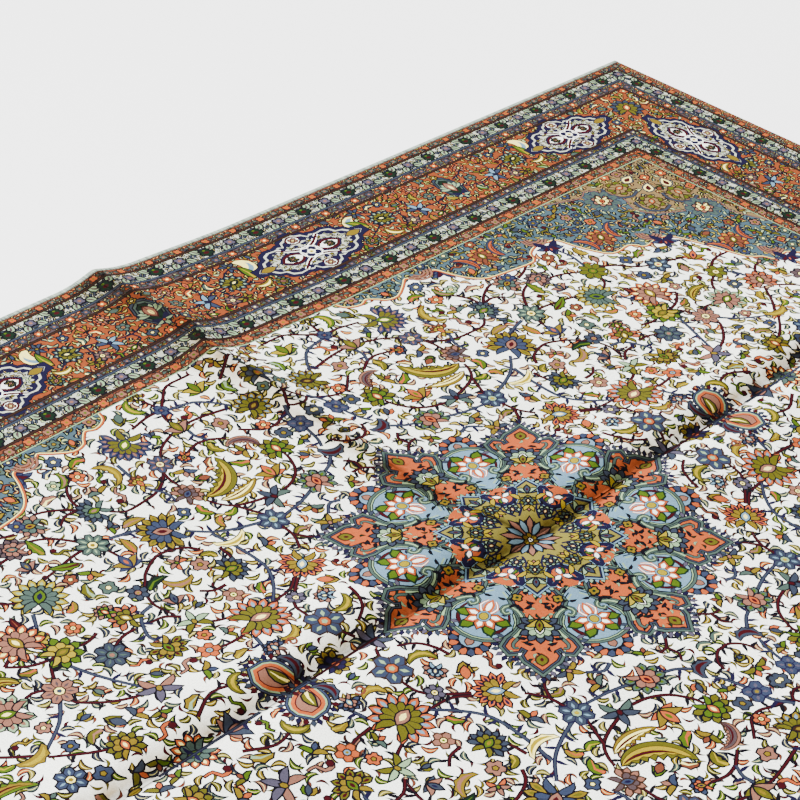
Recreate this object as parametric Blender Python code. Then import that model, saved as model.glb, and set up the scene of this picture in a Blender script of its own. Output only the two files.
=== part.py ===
"""An oriental silk rug, spread flat on a floor after it was stored folded in quarters.

Metres, +Z up. The origin is the middle of the underside: +X runs along the rug's length,
+Y across it. The rug is one woven sheet of constant thickness, with an overcast cord
bound along each long side. Two creases from the storage folds are pressed into it: a valley
that runs the whole length, and a cross fold that stands up as a ridge on the +Y half and
sinks as a faint trough on the -Y half. Away from the creases the underside is flat, at Z = 0.
"""

import math

import bmesh
import bpy

# Driving dimensions
LENGTH = 2.710
WIDTH = 1.830
FOUNDATION = 0.002
PILE = 0.003
BINDING_WIDTH = 0.011
BINDING_HEIGHT = 0.0055
SEAM_GAP = 0.0003

# Sizes that follow from them
THICKNESS = FOUNDATION + PILE
HALF_LENGTH = LENGTH / 2
HALF_WIDTH = WIDTH / 2
BODY_HALF_WIDTH = HALF_WIDTH - BINDING_WIDTH - SEAM_GAP

# Mesh steps: the finest beside a crease, the coarsest on the flat, and their growth
FINE_STEP = 0.0065
COARSE_STEP = 0.115
STEP_GROWTH = 1.24

# How round a crease is at its bottom or crest
CREASE_ROUNDING = 0.004
# How far from a crease the mesh lines still follow its wander
FOLLOW_REACH = 0.30

# The long crease: how far a hump beside it reaches, and its course along X.
# Columns: x, sideways wander, hump on the +Y side, hump on the -Y side
HUMP_REACH = 0.21
LONG_CREASE = (
    (-1.355, 0.003, 0.005, 0.005),
    (-0.650, 0.006, 0.010, 0.008),
    (-0.300, 0.007, 0.013, 0.010),
    (-0.160, 0.009, 0.014, 0.010),
    (0.000, -0.004, 0.012, 0.008),
    (0.120, -0.003, 0.014, 0.010),
    (0.280, 0.007, 0.014, 0.011),
    (0.520, 0.006, 0.012, 0.010),
    (0.700, 0.016, 0.012, 0.009),
    (1.355, 0.004, 0.005, 0.005),
)

# The cross fold on the +Y half: a sharp crest on a broad lifted base.
# Columns: y, sideways wander, crest height, base on the -X side, base on the +X side
CREST_REACH_BACK = 0.075
CREST_REACH_FRONT = 0.085
BASE_REACH_BACK = 0.60
BASE_REACH_FRONT = 0.32
CROSS_FOLD = (
    (0.000, -0.010, 0.000, 0.000, 0.000),
    (0.110, -0.028, 0.004, 0.002, 0.001),
    (0.220, -0.033, 0.007, 0.004, 0.002),
    (0.340, -0.029, 0.010, 0.006, 0.003),
    (0.440, -0.027, 0.015, 0.008, 0.004),
    (0.530, -0.032, 0.023, 0.013, 0.005),
    (0.620, -0.045, 0.031, 0.016, 0.006),
    (0.700, -0.020, 0.027, 0.016, 0.007),
    (0.800, -0.026, 0.026, 0.014, 0.009),
    (0.915, -0.035, 0.027, 0.012, 0.011),
)

# The same fold on the -Y half, a faint trough between two low humps
TROUGH_HUMP = 0.004
TROUGH_REACH = 0.16
TROUGH_START = 0.20

# The binding's section: shares of its width outward and of its height up, on its outer side
BINDING_SECTION = (
    (0.00, 0.00),
    (0.72, 0.00),
    (0.96, 0.24),
    (1.00, 0.52),
    (0.86, 0.82),
    (0.55, 1.00),
    (0.00, 1.00),
)

# Linear colours and roughness of the yarns
SILK_COLOUR = (0.50, 0.36, 0.25, 1.0)
SILK_ROUGHNESS = 0.55
BINDING_COLOUR = (0.47, 0.50, 0.42, 1.0)
BINDING_ROUGHNESS = 0.70


def clear_scene():
    """Removes whatever the file opened with."""
    for thing in list(bpy.data.objects):
        bpy.data.objects.remove(thing, do_unlink=True)


def ease(t):
    """0 to 1 with a level start and end."""
    t = min(max(t, 0.0), 1.0)
    return t * t * (3.0 - 2.0 * t)


def row_at(table, place):
    """A table's values at a place between its rows, which its first column gives."""
    if place <= table[0][0]:
        return table[0][1:]
    for low, high in zip(table, table[1:]):
        if place <= high[0]:
            t = ease((place - low[0]) / (high[0] - low[0]))
            return tuple(a + (b - a) * t for a, b in zip(low[1:], high[1:]))
    return table[-1][1:]


def soft_distance(offset):
    """The distance from a crease line, rounded off at the line itself."""
    return math.hypot(offset, CREASE_ROUNDING) - CREASE_ROUNDING


def hump(t):
    """0 at a crease, 1 a quarter of the way out, and level at 0 from t = 1."""
    if t >= 1.0:
        return 0.0
    return t * (1.0 - t) ** 3 / (0.25 * 0.75**3)


def crest(t):
    """1 at a fold's crest, with sides that hollow out to 0 at t = 1."""
    return max(0.0, 1.0 - t) ** 2


def valley_height(x, y):
    """The lift of the underside beside the long crease."""
    wander, far_hump, near_hump = row_at(LONG_CREASE, x)
    offset = y - wander
    t = soft_distance(offset) / HUMP_REACH
    side = ease(0.5 + offset / (4.0 * CREASE_ROUNDING))
    return hump(t) * (near_hump + (far_hump - near_hump) * side)


def ridge_height(x, y):
    """The lift of the underside over the cross fold, on the +Y half."""
    if y <= 0.0:
        return 0.0
    wander, top, back, front = row_at(CROSS_FOLD, y)
    offset = x - wander
    away = soft_distance(offset)
    if offset < 0.0:
        base, base_reach, crest_reach = back, BASE_REACH_BACK, CREST_REACH_BACK
    else:
        base, base_reach, crest_reach = front, BASE_REACH_FRONT, CREST_REACH_FRONT
    fade = 1.0 - ease(away / base_reach)
    return (top - base) * crest(away / crest_reach) + base * fade


def trough_height(x, y):
    """The two low humps beside the cross fold's trough, on the -Y half."""
    wander = CROSS_FOLD[1][1]
    t = soft_distance(x - wander) / TROUGH_REACH
    return TROUGH_HUMP * hump(t) * ease(-y / TROUGH_START)


def lift(x, y):
    """The height of the rug's underside above the floor."""
    return valley_height(x, y) + ridge_height(x, y) + trough_height(x, y)


def steepness(x, y):
    """How much taller than thick an upright cut through the sheet is, where it slopes."""
    step = FINE_STEP / 4.0
    along = (lift(x + step, y) - lift(x - step, y)) / (2.0 * step)
    across = (lift(x, y + step) - lift(x, y - step)) / (2.0 * step)
    return math.sqrt(1.0 + along * along + across * across)


def stations(half):
    """Places from -half to half, close together at 0 and wider apart away from it."""
    places, place, step = [0.0], 0.0, FINE_STEP
    while place + 1.5 * step < half:
        place += step
        places.append(place)
        step = min(step * STEP_GROWTH, COARSE_STEP)
    places.append(half)
    return [-p for p in reversed(places[1:])] + places


def followed(place, wander):
    """A mesh line's place, moved with the crease where it lies near it."""
    return place + wander * (1.0 - ease(abs(place) / FOLLOW_REACH))


def grid_points(half_length, half_width):
    """Rows of (x, y) whose lines bend with the two creases."""
    rows = []
    for y in stations(half_width):
        row = []
        for x in stations(half_length):
            cross_wander = row_at(CROSS_FOLD, abs(y))[0]
            long_wander = row_at(LONG_CREASE, x)[0]
            row.append((followed(x, cross_wander), followed(y, long_wander)))
        rows.append(row)
    return rows


def silk_material(name, colour, roughness):
    """A plain Principled finish for one yarn."""
    material = bpy.data.materials.new(name)
    material.use_nodes = True
    shader = material.node_tree.nodes["Principled BSDF"]
    shader.inputs["Base Color"].default_value = colour
    shader.inputs["Roughness"].default_value = roughness
    shader.inputs["Metallic"].default_value = 0.0
    material.diffuse_color = colour
    return material


def finished_object(name, shape, material):
    """Turns a bmesh into a named object with its faces pointing out."""
    bmesh.ops.recalc_face_normals(shape, faces=shape.faces[:])
    mesh = bpy.data.meshes.new(name)
    shape.to_mesh(mesh)
    shape.free()
    mesh.materials.append(material)
    mesh.shade_smooth()
    mesh.set_sharp_from_angle(angle=math.radians(40.0))
    thing = bpy.data.objects.new(name, mesh)
    bpy.context.scene.collection.objects.link(thing)
    return thing


def rug_body():
    """The knotted sheet: an upper and a lower skin on the same grid, closed at the rim."""
    rows = grid_points(HALF_LENGTH, BODY_HALF_WIDTH)
    shape = bmesh.new()
    lower = []
    upper = []
    for row in rows:
        heights = [lift(x, y) for x, y in row]
        tops = [z + THICKNESS * steepness(x, y) for (x, y), z in zip(row, heights)]
        lower.append([shape.verts.new((x, y, z)) for (x, y), z in zip(row, heights)])
        upper.append([shape.verts.new((x, y, z)) for (x, y), z in zip(row, tops)])
    last_row = len(rows) - 1
    last_column = len(rows[0]) - 1
    for j in range(last_row):
        for i in range(last_column):
            shape.faces.new((upper[j][i], upper[j][i + 1], upper[j + 1][i + 1], upper[j + 1][i]))
            shape.faces.new((lower[j][i], lower[j + 1][i], lower[j + 1][i + 1], lower[j][i + 1]))
    for i in range(last_column):
        for j in (0, last_row):
            shape.faces.new((lower[j][i], lower[j][i + 1], upper[j][i + 1], upper[j][i]))
    for j in range(last_row):
        for i in (0, last_column):
            shape.faces.new((lower[j][i], lower[j + 1][i], upper[j + 1][i], upper[j][i]))
    material = silk_material("silk_pile", SILK_COLOUR, SILK_ROUGHNESS)
    return finished_object("rug_body", shape, material)


def side_binding(name, side):
    """The overcast cord on one long side (+1 or -1), which follows the sheet over the folds."""
    shape = bmesh.new()
    inner = side * (HALF_WIDTH - BINDING_WIDTH)
    wander = row_at(CROSS_FOLD, abs(inner))[0]
    rings = []
    for station in stations(HALF_LENGTH):
        x = followed(station, wander)
        under = lift(x, side * HALF_WIDTH)
        tall = BINDING_HEIGHT * steepness(x, side * HALF_WIDTH)
        ring = []
        for out, up in BINDING_SECTION:
            ring.append(shape.verts.new((x, inner + side * BINDING_WIDTH * out, under + tall * up)))
        rings.append(ring)
    count = len(BINDING_SECTION)
    for ring, following in zip(rings, rings[1:]):
        for k in range(count):
            after = (k + 1) % count
            shape.faces.new((ring[k], ring[after], following[after], following[k]))
    shape.faces.new(rings[0])
    shape.faces.new(rings[-1])
    material = silk_material(name + "_yarn", BINDING_COLOUR, BINDING_ROUGHNESS)
    return finished_object(name, shape, material)


clear_scene()
rug_body()
side_binding("binding_left", 1)
side_binding("binding_right", -1)
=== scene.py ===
# %% [markdown]
# # An oriental silk rug, knot by knot
#
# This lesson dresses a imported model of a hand-knotted silk rug. The model gives the true
# size and the true folds; here we draw the rug's design, dye it, give it the lustre of
# clipped silk, and light it softly. Each step has a short note and a short cell of code.
#
# We begin with the frame: the plain solids that every piece must fit.

import math

import bpy
import numpy as np
from mathutils import Matrix, Vector
from mathutils.bvhtree import BVHTree
from mathutils.geometry import delaunay_2d_cdt


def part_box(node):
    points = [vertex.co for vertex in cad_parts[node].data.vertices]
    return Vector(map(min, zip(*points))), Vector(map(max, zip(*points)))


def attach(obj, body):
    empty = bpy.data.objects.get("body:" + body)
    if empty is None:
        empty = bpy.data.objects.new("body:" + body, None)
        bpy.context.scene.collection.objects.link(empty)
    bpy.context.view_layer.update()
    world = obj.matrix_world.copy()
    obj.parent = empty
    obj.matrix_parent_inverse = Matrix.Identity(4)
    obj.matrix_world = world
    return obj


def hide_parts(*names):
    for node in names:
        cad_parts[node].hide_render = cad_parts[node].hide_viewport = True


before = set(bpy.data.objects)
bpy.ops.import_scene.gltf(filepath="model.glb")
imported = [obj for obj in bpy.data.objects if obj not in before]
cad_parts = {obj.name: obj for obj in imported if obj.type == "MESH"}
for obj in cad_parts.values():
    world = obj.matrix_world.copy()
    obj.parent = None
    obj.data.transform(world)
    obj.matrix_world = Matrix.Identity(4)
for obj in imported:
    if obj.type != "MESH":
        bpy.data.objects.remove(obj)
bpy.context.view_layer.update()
print("frame nodes:", sorted(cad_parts))

# %% [markdown]
# ## The sizes that drive the design
#
# A knotted rug is planned in bands, counted inward from its edge: a binding, three narrow
# guard borders, the wide main border, three more guards, and then the field. All the
# band widths below are distances from the rug's edge, so the same list serves the long
# sides and the short ends. The pieces' outer sizes are read from the frame.

# %% Sizes
body_low, body_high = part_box("rug_body")
binding_low, binding_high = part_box("binding_left")
HALF_LENGTH = body_high.x
HALF_WIDTH = binding_high.y
BODY_HALF_WIDTH = body_high.y
THICKNESS = 0.005
MM = 0.001

BAND_ENDS = {
    "outer_rose": 0.0295,
    "outer_ivory": 0.0650,
    "outer_mauve": 0.0905,
    "main": 0.2168,
    "inner_mauve": 0.2345,
    "inner_ivory": 0.2725,
    "inner_rose": 0.3005,
}
FIELD_X = HALF_LENGTH - BAND_ENDS["inner_rose"]
FIELD_Y = HALF_WIDTH - BAND_ENDS["inner_rose"]
print("half rug:", round(HALF_LENGTH, 4), "by", round(HALF_WIDTH, 4))
print("half field:", round(FIELD_X, 4), "by", round(FIELD_Y, 4))

# %% [markdown]
# ## The folds
#
# The rug was kept folded in quarters. Two creases remain: a valley along its whole
# length, and a cross fold that stands up as a ridge on one half. A simulation could make
# such folds, but a stored crease keeps its shape by itself, so a height function is the
# plainer way: it says how far the underside is off the floor at any place. It repeats the
# frame's own folds, so the dressed rug lies exactly where the solid does.

# %% The height of the rug
HUMP_REACH = 0.21
CREASE_ROUNDING = 0.004
LONG_CREASE = np.array([
    (-1.355, 0.003, 0.005, 0.005),
    (-0.650, 0.006, 0.010, 0.008),
    (-0.300, 0.007, 0.013, 0.010),
    (-0.160, 0.009, 0.014, 0.010),
    (0.000, -0.004, 0.012, 0.008),
    (0.120, -0.003, 0.014, 0.010),
    (0.280, 0.007, 0.014, 0.011),
    (0.520, 0.006, 0.012, 0.010),
    (0.700, 0.016, 0.012, 0.009),
    (1.355, 0.004, 0.005, 0.005),
])
CREST_REACH_BACK, CREST_REACH_FRONT = 0.075, 0.085
BASE_REACH_BACK, BASE_REACH_FRONT = 0.60, 0.32
CROSS_FOLD = np.array([
    (0.000, -0.010, 0.000, 0.000, 0.000),
    (0.110, -0.028, 0.004, 0.002, 0.001),
    (0.220, -0.033, 0.007, 0.004, 0.002),
    (0.340, -0.029, 0.010, 0.006, 0.003),
    (0.440, -0.027, 0.015, 0.008, 0.004),
    (0.530, -0.032, 0.023, 0.013, 0.005),
    (0.620, -0.045, 0.031, 0.016, 0.006),
    (0.700, -0.020, 0.027, 0.016, 0.007),
    (0.800, -0.026, 0.026, 0.014, 0.009),
    (0.915, -0.035, 0.027, 0.012, 0.011),
])
TROUGH_HUMP, TROUGH_REACH, TROUGH_START = 0.004, 0.16, 0.20


def ease(t):
    """0 to 1 with a level start and end."""
    t = np.clip(t, 0.0, 1.0)
    return t * t * (3.0 - 2.0 * t)


def row_at(table, place):
    """The table's other columns at each place, eased from row to row."""
    place = np.clip(place, table[0, 0], table[-1, 0])
    row = np.clip(np.searchsorted(table[:, 0], place) - 1, 0, len(table) - 2)
    low, high = table[row], table[row + 1]
    t = ease((place - low[..., 0]) / (high[..., 0] - low[..., 0]))[..., None]
    return np.moveaxis(low[..., 1:] + (high - low)[..., 1:] * t, -1, 0)


def soft_distance(offset):
    """The distance from a crease line, rounded off at the line itself."""
    return np.hypot(offset, CREASE_ROUNDING) - CREASE_ROUNDING


def hump(t):
    """0 at a crease, 1 a quarter of the way out, and level at 0 from t = 1."""
    t = np.clip(t, 0.0, 1.0)
    return t * (1.0 - t) ** 3 / (0.25 * 0.75**3)


def valley_height(x, y):
    """The lift beside the long crease."""
    wander, far_hump, near_hump = row_at(LONG_CREASE, x)
    offset = y - wander
    side = ease(0.5 + offset / (4.0 * CREASE_ROUNDING))
    return hump(soft_distance(offset) / HUMP_REACH) * (near_hump + (far_hump - near_hump) * side)


def ridge_height(x, y):
    """The lift over the cross fold, on the +Y half."""
    wander, top, back, front = row_at(CROSS_FOLD, y)
    offset = x - wander
    away = soft_distance(offset)
    behind = offset < 0.0
    base = np.where(behind, back, front)
    fade = 1.0 - ease(away / np.where(behind, BASE_REACH_BACK, BASE_REACH_FRONT))
    reach = np.where(behind, CREST_REACH_BACK, CREST_REACH_FRONT)
    crest = np.clip(1.0 - away / reach, 0.0, 1.0) ** 2
    return np.where(y > 0.0, (top - base) * crest + base * fade, 0.0)


def lift(x, y):
    """How far the underside is off the floor."""
    t = soft_distance(x - CROSS_FOLD[1, 1]) / TROUGH_REACH
    trough = TROUGH_HUMP * hump(t) * ease(-y / TROUGH_START)
    return valley_height(x, y) + ridge_height(x, y) + trough


def steepness(x, y, step=0.0016):
    """How much taller than thick an upright cut through the sheet is."""
    along = (lift(x + step, y) - lift(x - step, y)) / (2.0 * step)
    across = (lift(x, y + step) - lift(x, y - step)) / (2.0 * step)
    return np.sqrt(1.0 + along**2 + across**2)


def pile_top(x, y):
    """The height of the clipped pile's surface."""
    return lift(x, y) + THICKNESS * steepness(x, y)


spots = np.linspace(-1.3, 1.3, 2001)
print("highest fold on the left edge:", round(float(lift(spots, np.full(2001, 0.9)).max()), 4))

# %% [markdown]
# ## The dyes
#
# A silk rug has a set number of dyed yarns, and each knot is one of them. So the design is
# painted in flat dyes, never blended. Naming them once keeps the design list readable. The
# grounds are dyes too, marked by a code, so that their finish can sow tiny leaves on them.

# %% Dyes
DYES = {
    "ivory": (240, 242, 232),
    "cream": (228, 214, 120),
    "coral": (146, 68, 34),
    "ember": (114, 55, 28),
    "rust": (92, 48, 32),
    "rose": (114, 76, 62),
    "navy": (19, 16, 40),
    "blue": (40, 47, 66),
    "sky": (90, 118, 136),
    "dusk": (56, 74, 82),
    "slate": (40, 46, 58),
    "sage": (55, 70, 64),
    "olive": (74, 71, 18),
    "gold": (102, 84, 20),
    "yellow": (134, 116, 20),
    "mauve": (62, 50, 52),
    "lilac": (64, 60, 74),
    "maroon": (48, 9, 14),
    "brown": (38, 23, 16),
    "leaf": (58, 78, 14),
    "forest": (14, 29, 18),
    "celadon": (116, 140, 106),
    "sand": (150, 114, 70),
    "pearl": (164, 168, 152),
    "bronze": (106, 98, 42),
    "tan": (108, 88, 56),
    "ink": (12, 10, 16),
}
GROUNDS = {
    "field_ground": ("ivory", 1),
    "arch_ground": ("dusk", 2),
    "main_ground": ("ember", 2),
    "ring_ground": ("coral", 5),
    "back_ground": ("tan", 2),
    "rust_ground": ("rust", 3),
    "mauve_ground": ("mauve", 3),
    "ivory_ground": ("pearl", 4),
}
DYES.update({name: DYES[dye] for name, (dye, _) in GROUNDS.items()})
DYE_NAMES = list(DYES)


def linear(colour):
    """An 8-bit screen colour as the linear values a shader wants."""
    share = np.array(colour, float) / 255.0
    return np.where(share <= 0.04045, share / 12.92, ((share + 0.055) / 1.055) ** 2.4)


DYE_LINEAR = np.array([linear(DYES[name]) for name in DYE_NAMES])
DYE_GROUND = np.array([GROUNDS[name][1] if name in GROUNDS else 0 for name in DYE_NAMES], float)
print("dyes:", len(DYE_NAMES))

# %% [markdown]
# ## A small drawing kit
#
# A rug's design is a chart of closed outlines, each filled with one dye and laid over those
# drawn before it. A list of (dye, outline) pairs is enough. Each helper returns such a list
# in millimetres, growing along +X from its own origin, so that one flower can be turned and
# placed wherever it is wanted. Seeded randomness only picks small fillers.

# %% Drawing kit
def turned(points, angle):
    """Points turned about the origin by an angle in degrees."""
    c, s = math.cos(math.radians(angle)), math.sin(math.radians(angle))
    return np.asarray(points, float) @ np.array([[c, s], [-s, c]])


def counterclockwise(points):
    """The outline, walked so that its inside is on the left."""
    x, y = points[:, 0], points[:, 1]
    area = np.sum(x * np.roll(y, -1) - np.roll(x, -1) * y)
    return points if area > 0.0 else points[::-1]


def placed(motif, at=(0.0, 0.0), turn=0.0, flip=False):
    """A motif mirrored if asked, turned, and moved to its place."""
    mirror = np.array([1.0, -1.0 if flip else 1.0])
    return [(dye, turned(np.asarray(p) * mirror, turn) + at) for dye, p in motif]


def paired(motif, at=(0.0, 0.0), turn=0.0):
    """A motif in its place, and its mirror image across the X axis."""
    return placed(motif, at, turn) + placed(motif, (at[0], -at[1]), -turn, flip=True)


def around(motif, count, radius=0.0, start=0.0, spread=360.0):
    """A motif repeated round a centre, each copy facing outward."""
    step = spread / count if spread == 360.0 else spread / max(count - 1, 1)
    copies = []
    for k in range(count):
        angle = start + step * k
        copies += placed(motif, turned((radius, 0.0), angle), angle)
    return copies


def smooth(points, steps=4):
    """A smooth course through a few points."""
    p = np.asarray(points, float)
    ring = np.vstack([2 * p[:1] - p[1:2], p, 2 * p[-1:] - p[-2:-1]])
    t = np.arange(steps)[:, None] / steps
    course = []
    for a, b, c, d in zip(ring, ring[1:], ring[2:], ring[3:]):
        course.append(b + 0.5 * t * (c - a + t * (2*a - 5*b + 4*c - d + t * (3*(b - c) + d - a))))
    return np.vstack(course + [p[-1:]])


def mirrored_outline(points):
    """One side of an outline, from base to tip, closed by its mirror image."""
    p = np.asarray(points, float)
    back = p[::-1] * (1.0, -1.0)
    keep = np.abs(back[:, 1]) > 1e-6
    return np.vstack([p, back[keep]])


def sides_of(path):
    """The unit direction across a path at each of its points."""
    along = np.gradient(path, axis=0)
    across = np.stack([-along[:, 1], along[:, 0]], axis=1)
    return across / (np.linalg.norm(across, axis=1)[:, None] + 1e-9)


def stroke(path, start, end=None):
    """A line of the given width, tapering to its end width."""
    path = np.asarray(path, float)
    widths = np.linspace(start, start if end is None else end, len(path))[:, None] / 2.0
    across = sides_of(path) * widths
    return np.vstack([path + across, (path - across)[::-1]])


def grown(points, by):
    """An outline moved outward all round."""
    p = counterclockwise(np.asarray(points, float))
    before = p - np.roll(p, 1, axis=0)
    after = np.roll(p, -1, axis=0) - p
    out = 0.0
    for edge in (before, after):
        normal = np.stack([edge[:, 1], -edge[:, 0]], axis=1)
        out = out + normal / (np.linalg.norm(normal, axis=1)[:, None] + 1e-9)
    square = np.clip(np.sum(out * out, axis=1), 1.1, None)[:, None]
    return p + out * (2.0 * by / square)


INK_WEIGHT = 1.5


def inked(dye, points, ink="ink", line=1.6):
    """A filled outline with a line round it."""
    return [(ink, grown(points, line * INK_WEIGHT)), (dye, np.asarray(points, float))]


def oval(length, width=None, at=(0.0, 0.0), n=10):
    """A round or oval outline, by its radii."""
    angle = np.arange(n) * 2.0 * np.pi / n
    width = length if width is None else width
    return np.stack([np.cos(angle) * length, np.sin(angle) * width], axis=1) + at


def bent(points, bend, length):
    """Points along +X wrapped onto an arc that turns by a number of degrees."""
    if abs(bend) < 1.0:
        return points
    k = math.radians(bend) / length
    turn = points[:, 0] * k
    x = np.sin(turn) / k - points[:, 1] * np.sin(turn)
    y = (1.0 - np.cos(turn)) / k + points[:, 1] * np.cos(turn)
    return np.stack([x, y], axis=1)


def spindle(length, width, fat=0.5, blunt=1.0, bend=0.0, teeth=0.0, n=4):
    """A petal or leaf: widest at a share of its length, blunt or pointed, bent or toothed."""
    t = np.linspace(0.0, 1.0, n + 2)[1:-1]
    swell = np.sin(np.pi * t ** (math.log(0.5) / math.log(fat))) ** blunt
    lower = swell * (1.0 - teeth * (np.arange(n) % 2))
    x = np.concatenate([[0.0], t, [1.0], t[::-1]]) * length
    y = np.concatenate([[0.0], swell, [0.0], -lower[::-1]]) * width / 2.0
    return bent(np.stack([x, y], axis=1), bend, length)


print("a sample leaf has", len(spindle(20.0, 8.0, bend=40.0)), "corners")

# %% [markdown]
# ## Flowers, leaves and buds
#
# The whole field is sown with a few kinds of flower, each seen from the side or the front:
# open rosettes, fan-shaped palmettes, tulips and lilies, with leaves and curled tendrils to
# fill the ground between. A short function for each kind takes its dyes, so the same drawing
# serves many flowers, as it does on the loom.

# %% Flowers and leaves
def shifted(points, along):
    """Points moved along +X."""
    return points + np.array([along, 0.0])


def leaf(length, width, dye="olive", vein="gold", bend=30.0, teeth=0.0, n=3, ink="ink"):
    """A leaf with a vein of a second dye."""
    edge = spindle(length, width, 0.42, 0.85, bend, teeth, n)
    spine = bent(np.array([(0.05, 0.0), (0.45, 0.0), (0.85, 0.0)]) * length, bend, length)
    return inked(dye, edge, ink) + [(vein, stroke(spine, width * 0.36, 0.6))]


def bud(length, dye="coral", cup="leaf", ink="ink"):
    """A closed bud in its cup."""
    motif = inked(cup, spindle(length * 0.75, length * 0.36, 0.4, 0.8, 60.0, n=3), ink)
    motif = paired(motif)
    heart = shifted(spindle(length * 0.8, length * 0.46, 0.5, 0.8, n=3), length * 0.25)
    return motif + inked(dye, heart, ink, 1.3)


def sprig(length, first="leaf", second="gold", third="slate", ink="ink"):
    """Three small leaves on a stalk."""
    motif = [(ink, stroke([(-length * 0.5, 0.0), (0.0, 0.0), (length * 0.3, 0.0)], 2.2, 1.4))]
    for dye, angle, bend in ((first, 55.0, -50.0), (second, -55.0, 50.0), (third, 0.0, 20.0)):
        blade = inked(dye, spindle(length * 0.66, length * 0.30, 0.5, 0.9, bend, 0.0, 2), ink, 1.3)
        motif += placed(blade, (-length * 0.15, 0.0), angle)
    return motif


def scallop(r, count, depth=0.32, start=90.0):
    """A round outline of petals, three corners to each."""
    k = np.arange(3 * count)
    angle = np.radians(start) + k * 2.0 * np.pi / (3 * count)
    reach = r * np.where(k % 3 == 0, 1.0 - depth, 1.0)
    return np.stack([np.cos(angle) * reach, np.sin(angle) * reach], 1)


def rosette(r, petals, dye, heart="gold", ring="cream", tip=None, ink="ink"):
    """An open flower seen from the front."""
    flower = inked(dye, scallop(r, petals), ink, 1.5)
    slit = [(ink, stroke([(0.3 * r, 0.0), (0.85 * r, 0.0)], 0.7, 1.8))]
    if tip:
        stripe = shifted(spindle(0.50 * r, 1.3 * r / petals, 0.65, 0.8, n=1), 0.36 * r)
        flower += around([(tip, stripe)], petals, 0.0, 90.0 + 180.0 / petals)
    flower += around(slit, petals, 0.0, 90.0)
    flower += inked(ring, oval(0.30 * r, n=7), ink, 1.3)
    return flower + [(heart, oval(0.17 * r, n=5))]


def half_scallop(r, count, spread, depth=0.22):
    """A fan-shaped outline of petals, closed at its root."""
    k = np.arange(3 * count + 1)
    angle = np.radians(-spread / 2.0 + spread * k / (3 * count))
    reach = r * np.where(k % 3 == 0, 1.0 - depth, 1.0)
    return np.vstack([np.stack([np.cos(angle) * reach, np.sin(angle) * reach], 1), (-0.15 * r, 0.0)])


def fan(r, outer, inner, core, drop="cream", petals=9, spread=220.0, ink="ink", tip=None):
    """A palmette: two tiers of petals round an almond core, on a pair of sepals."""
    width = math.radians(spread) * 0.66 * r / petals
    petal = inked(outer, spindle(0.66 * r, width, 0.62, 0.75, n=3), ink, 1.5)
    if tip:
        petal.append((tip, spindle(0.38 * r, width * 0.5, 0.6, 0.8, n=2) + (0.16 * r, 0.0)))
    flower = around(petal, petals, 0.34 * r, -spread / 2.0, spread)
    few = max(4, petals - 4)
    flower += inked(inner, half_scallop(0.64 * r, few, spread * 0.9), ink, 1.4)
    slit = [(ink, stroke([(0.2 * r, 0.0), (0.58 * r, 0.0)], 0.6, 1.5))]
    first, reach = -spread * 0.45 + spread * 0.9 / few, spread * 0.9 * (few - 2) / few
    flower += around(slit, few - 1, 0.0, first, reach)
    sepal = inked(inner, spindle(0.76 * r, 0.26 * r, 0.4, 0.9, 75.0, n=3), ink, 1.4)
    flower += paired(sepal, (-0.25 * r, 0.0), 105.0)
    flower += inked(core, shifted(spindle(0.70 * r, 0.40 * r, 0.5, 0.8, n=3), -0.28 * r), ink, 1.4)
    return flower + [(drop, shifted(spindle(0.40 * r, 0.20 * r, 0.5, 0.8, n=2), -0.12 * r))]


def tulip(r, outer, inner, core="cream", ink="ink"):
    """A cup of side petals that curl out, with one upright petal between."""
    side = inked(outer, spindle(1.45 * r, 0.52 * r, 0.42, 0.9, 60.0), ink, 1.5)
    small = inked(inner, spindle(1.0 * r, 0.36 * r, 0.45, 0.9, 40.0), ink, 1.4)
    flower = paired(small, (-0.5 * r, 0.0), 62.0) + paired(side, (-0.55 * r, 0.0), 22.0)
    flower += inked(inner, shifted(spindle(1.35 * r, 0.56 * r, 0.5, 0.8), -0.45 * r), ink, 1.5)
    return flower + [(core, shifted(spindle(0.60 * r, 0.24 * r, 0.5, 0.8, n=3), -0.15 * r))]


def lily(r, dye, second, heart="maroon", ink="ink"):
    """A spray of narrow petals that curl away from its middle."""
    flower = []
    for angle, bend, tone in ((100, 60, second), (-100, -60, second), (52, 50, dye),
                              (-52, -50, dye), (0, 12, dye)):
        blade = inked(tone, spindle(1.15 * r, 0.38 * r, 0.5, 0.9, bend), ink, 1.5)
        flower += placed(blade, (-0.3 * r, 0.0), angle)
    return flower + inked(heart, oval(0.20 * r, 0.14 * r, (-0.2 * r, 0.0), 6), ink, 1.3)


def feather(length, width, dye, lining, bend, ink="ink"):
    """A large curved leaf with a toothed edge."""
    edge = spindle(length, width * 0.78, 0.45, 0.8, bend, 0.5, 15)
    inner = spindle(length * 0.92, width * 0.40, 0.45, 0.8, bend * 0.92, 0.4, 11)
    heart = spindle(length * 0.80, width * 0.12, 0.45, 0.8, bend * 0.84, 0.0, 6)
    return inked(dye, edge, ink, 1.2) + inked(lining, inner, "brown", 0.7) + [("maroon", heart)]


def crescent(length, width, dye, lining="cream", bend=150.0, ink="ink"):
    """A sickle leaf that rolls round on itself."""
    edge = spindle(length, width * 0.9, 0.5, 0.75, bend, 0.42, 9)
    inner = placed([(lining, spindle(length * 0.8, width * 0.34, 0.5, 0.8, bend * 0.8, 0.0, 5))],
                   bent(np.array([(length * 0.1, 0.0)]), bend, length)[0], bend * 0.1)
    return inked(dye, edge, ink, 1.2) + inner


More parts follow.
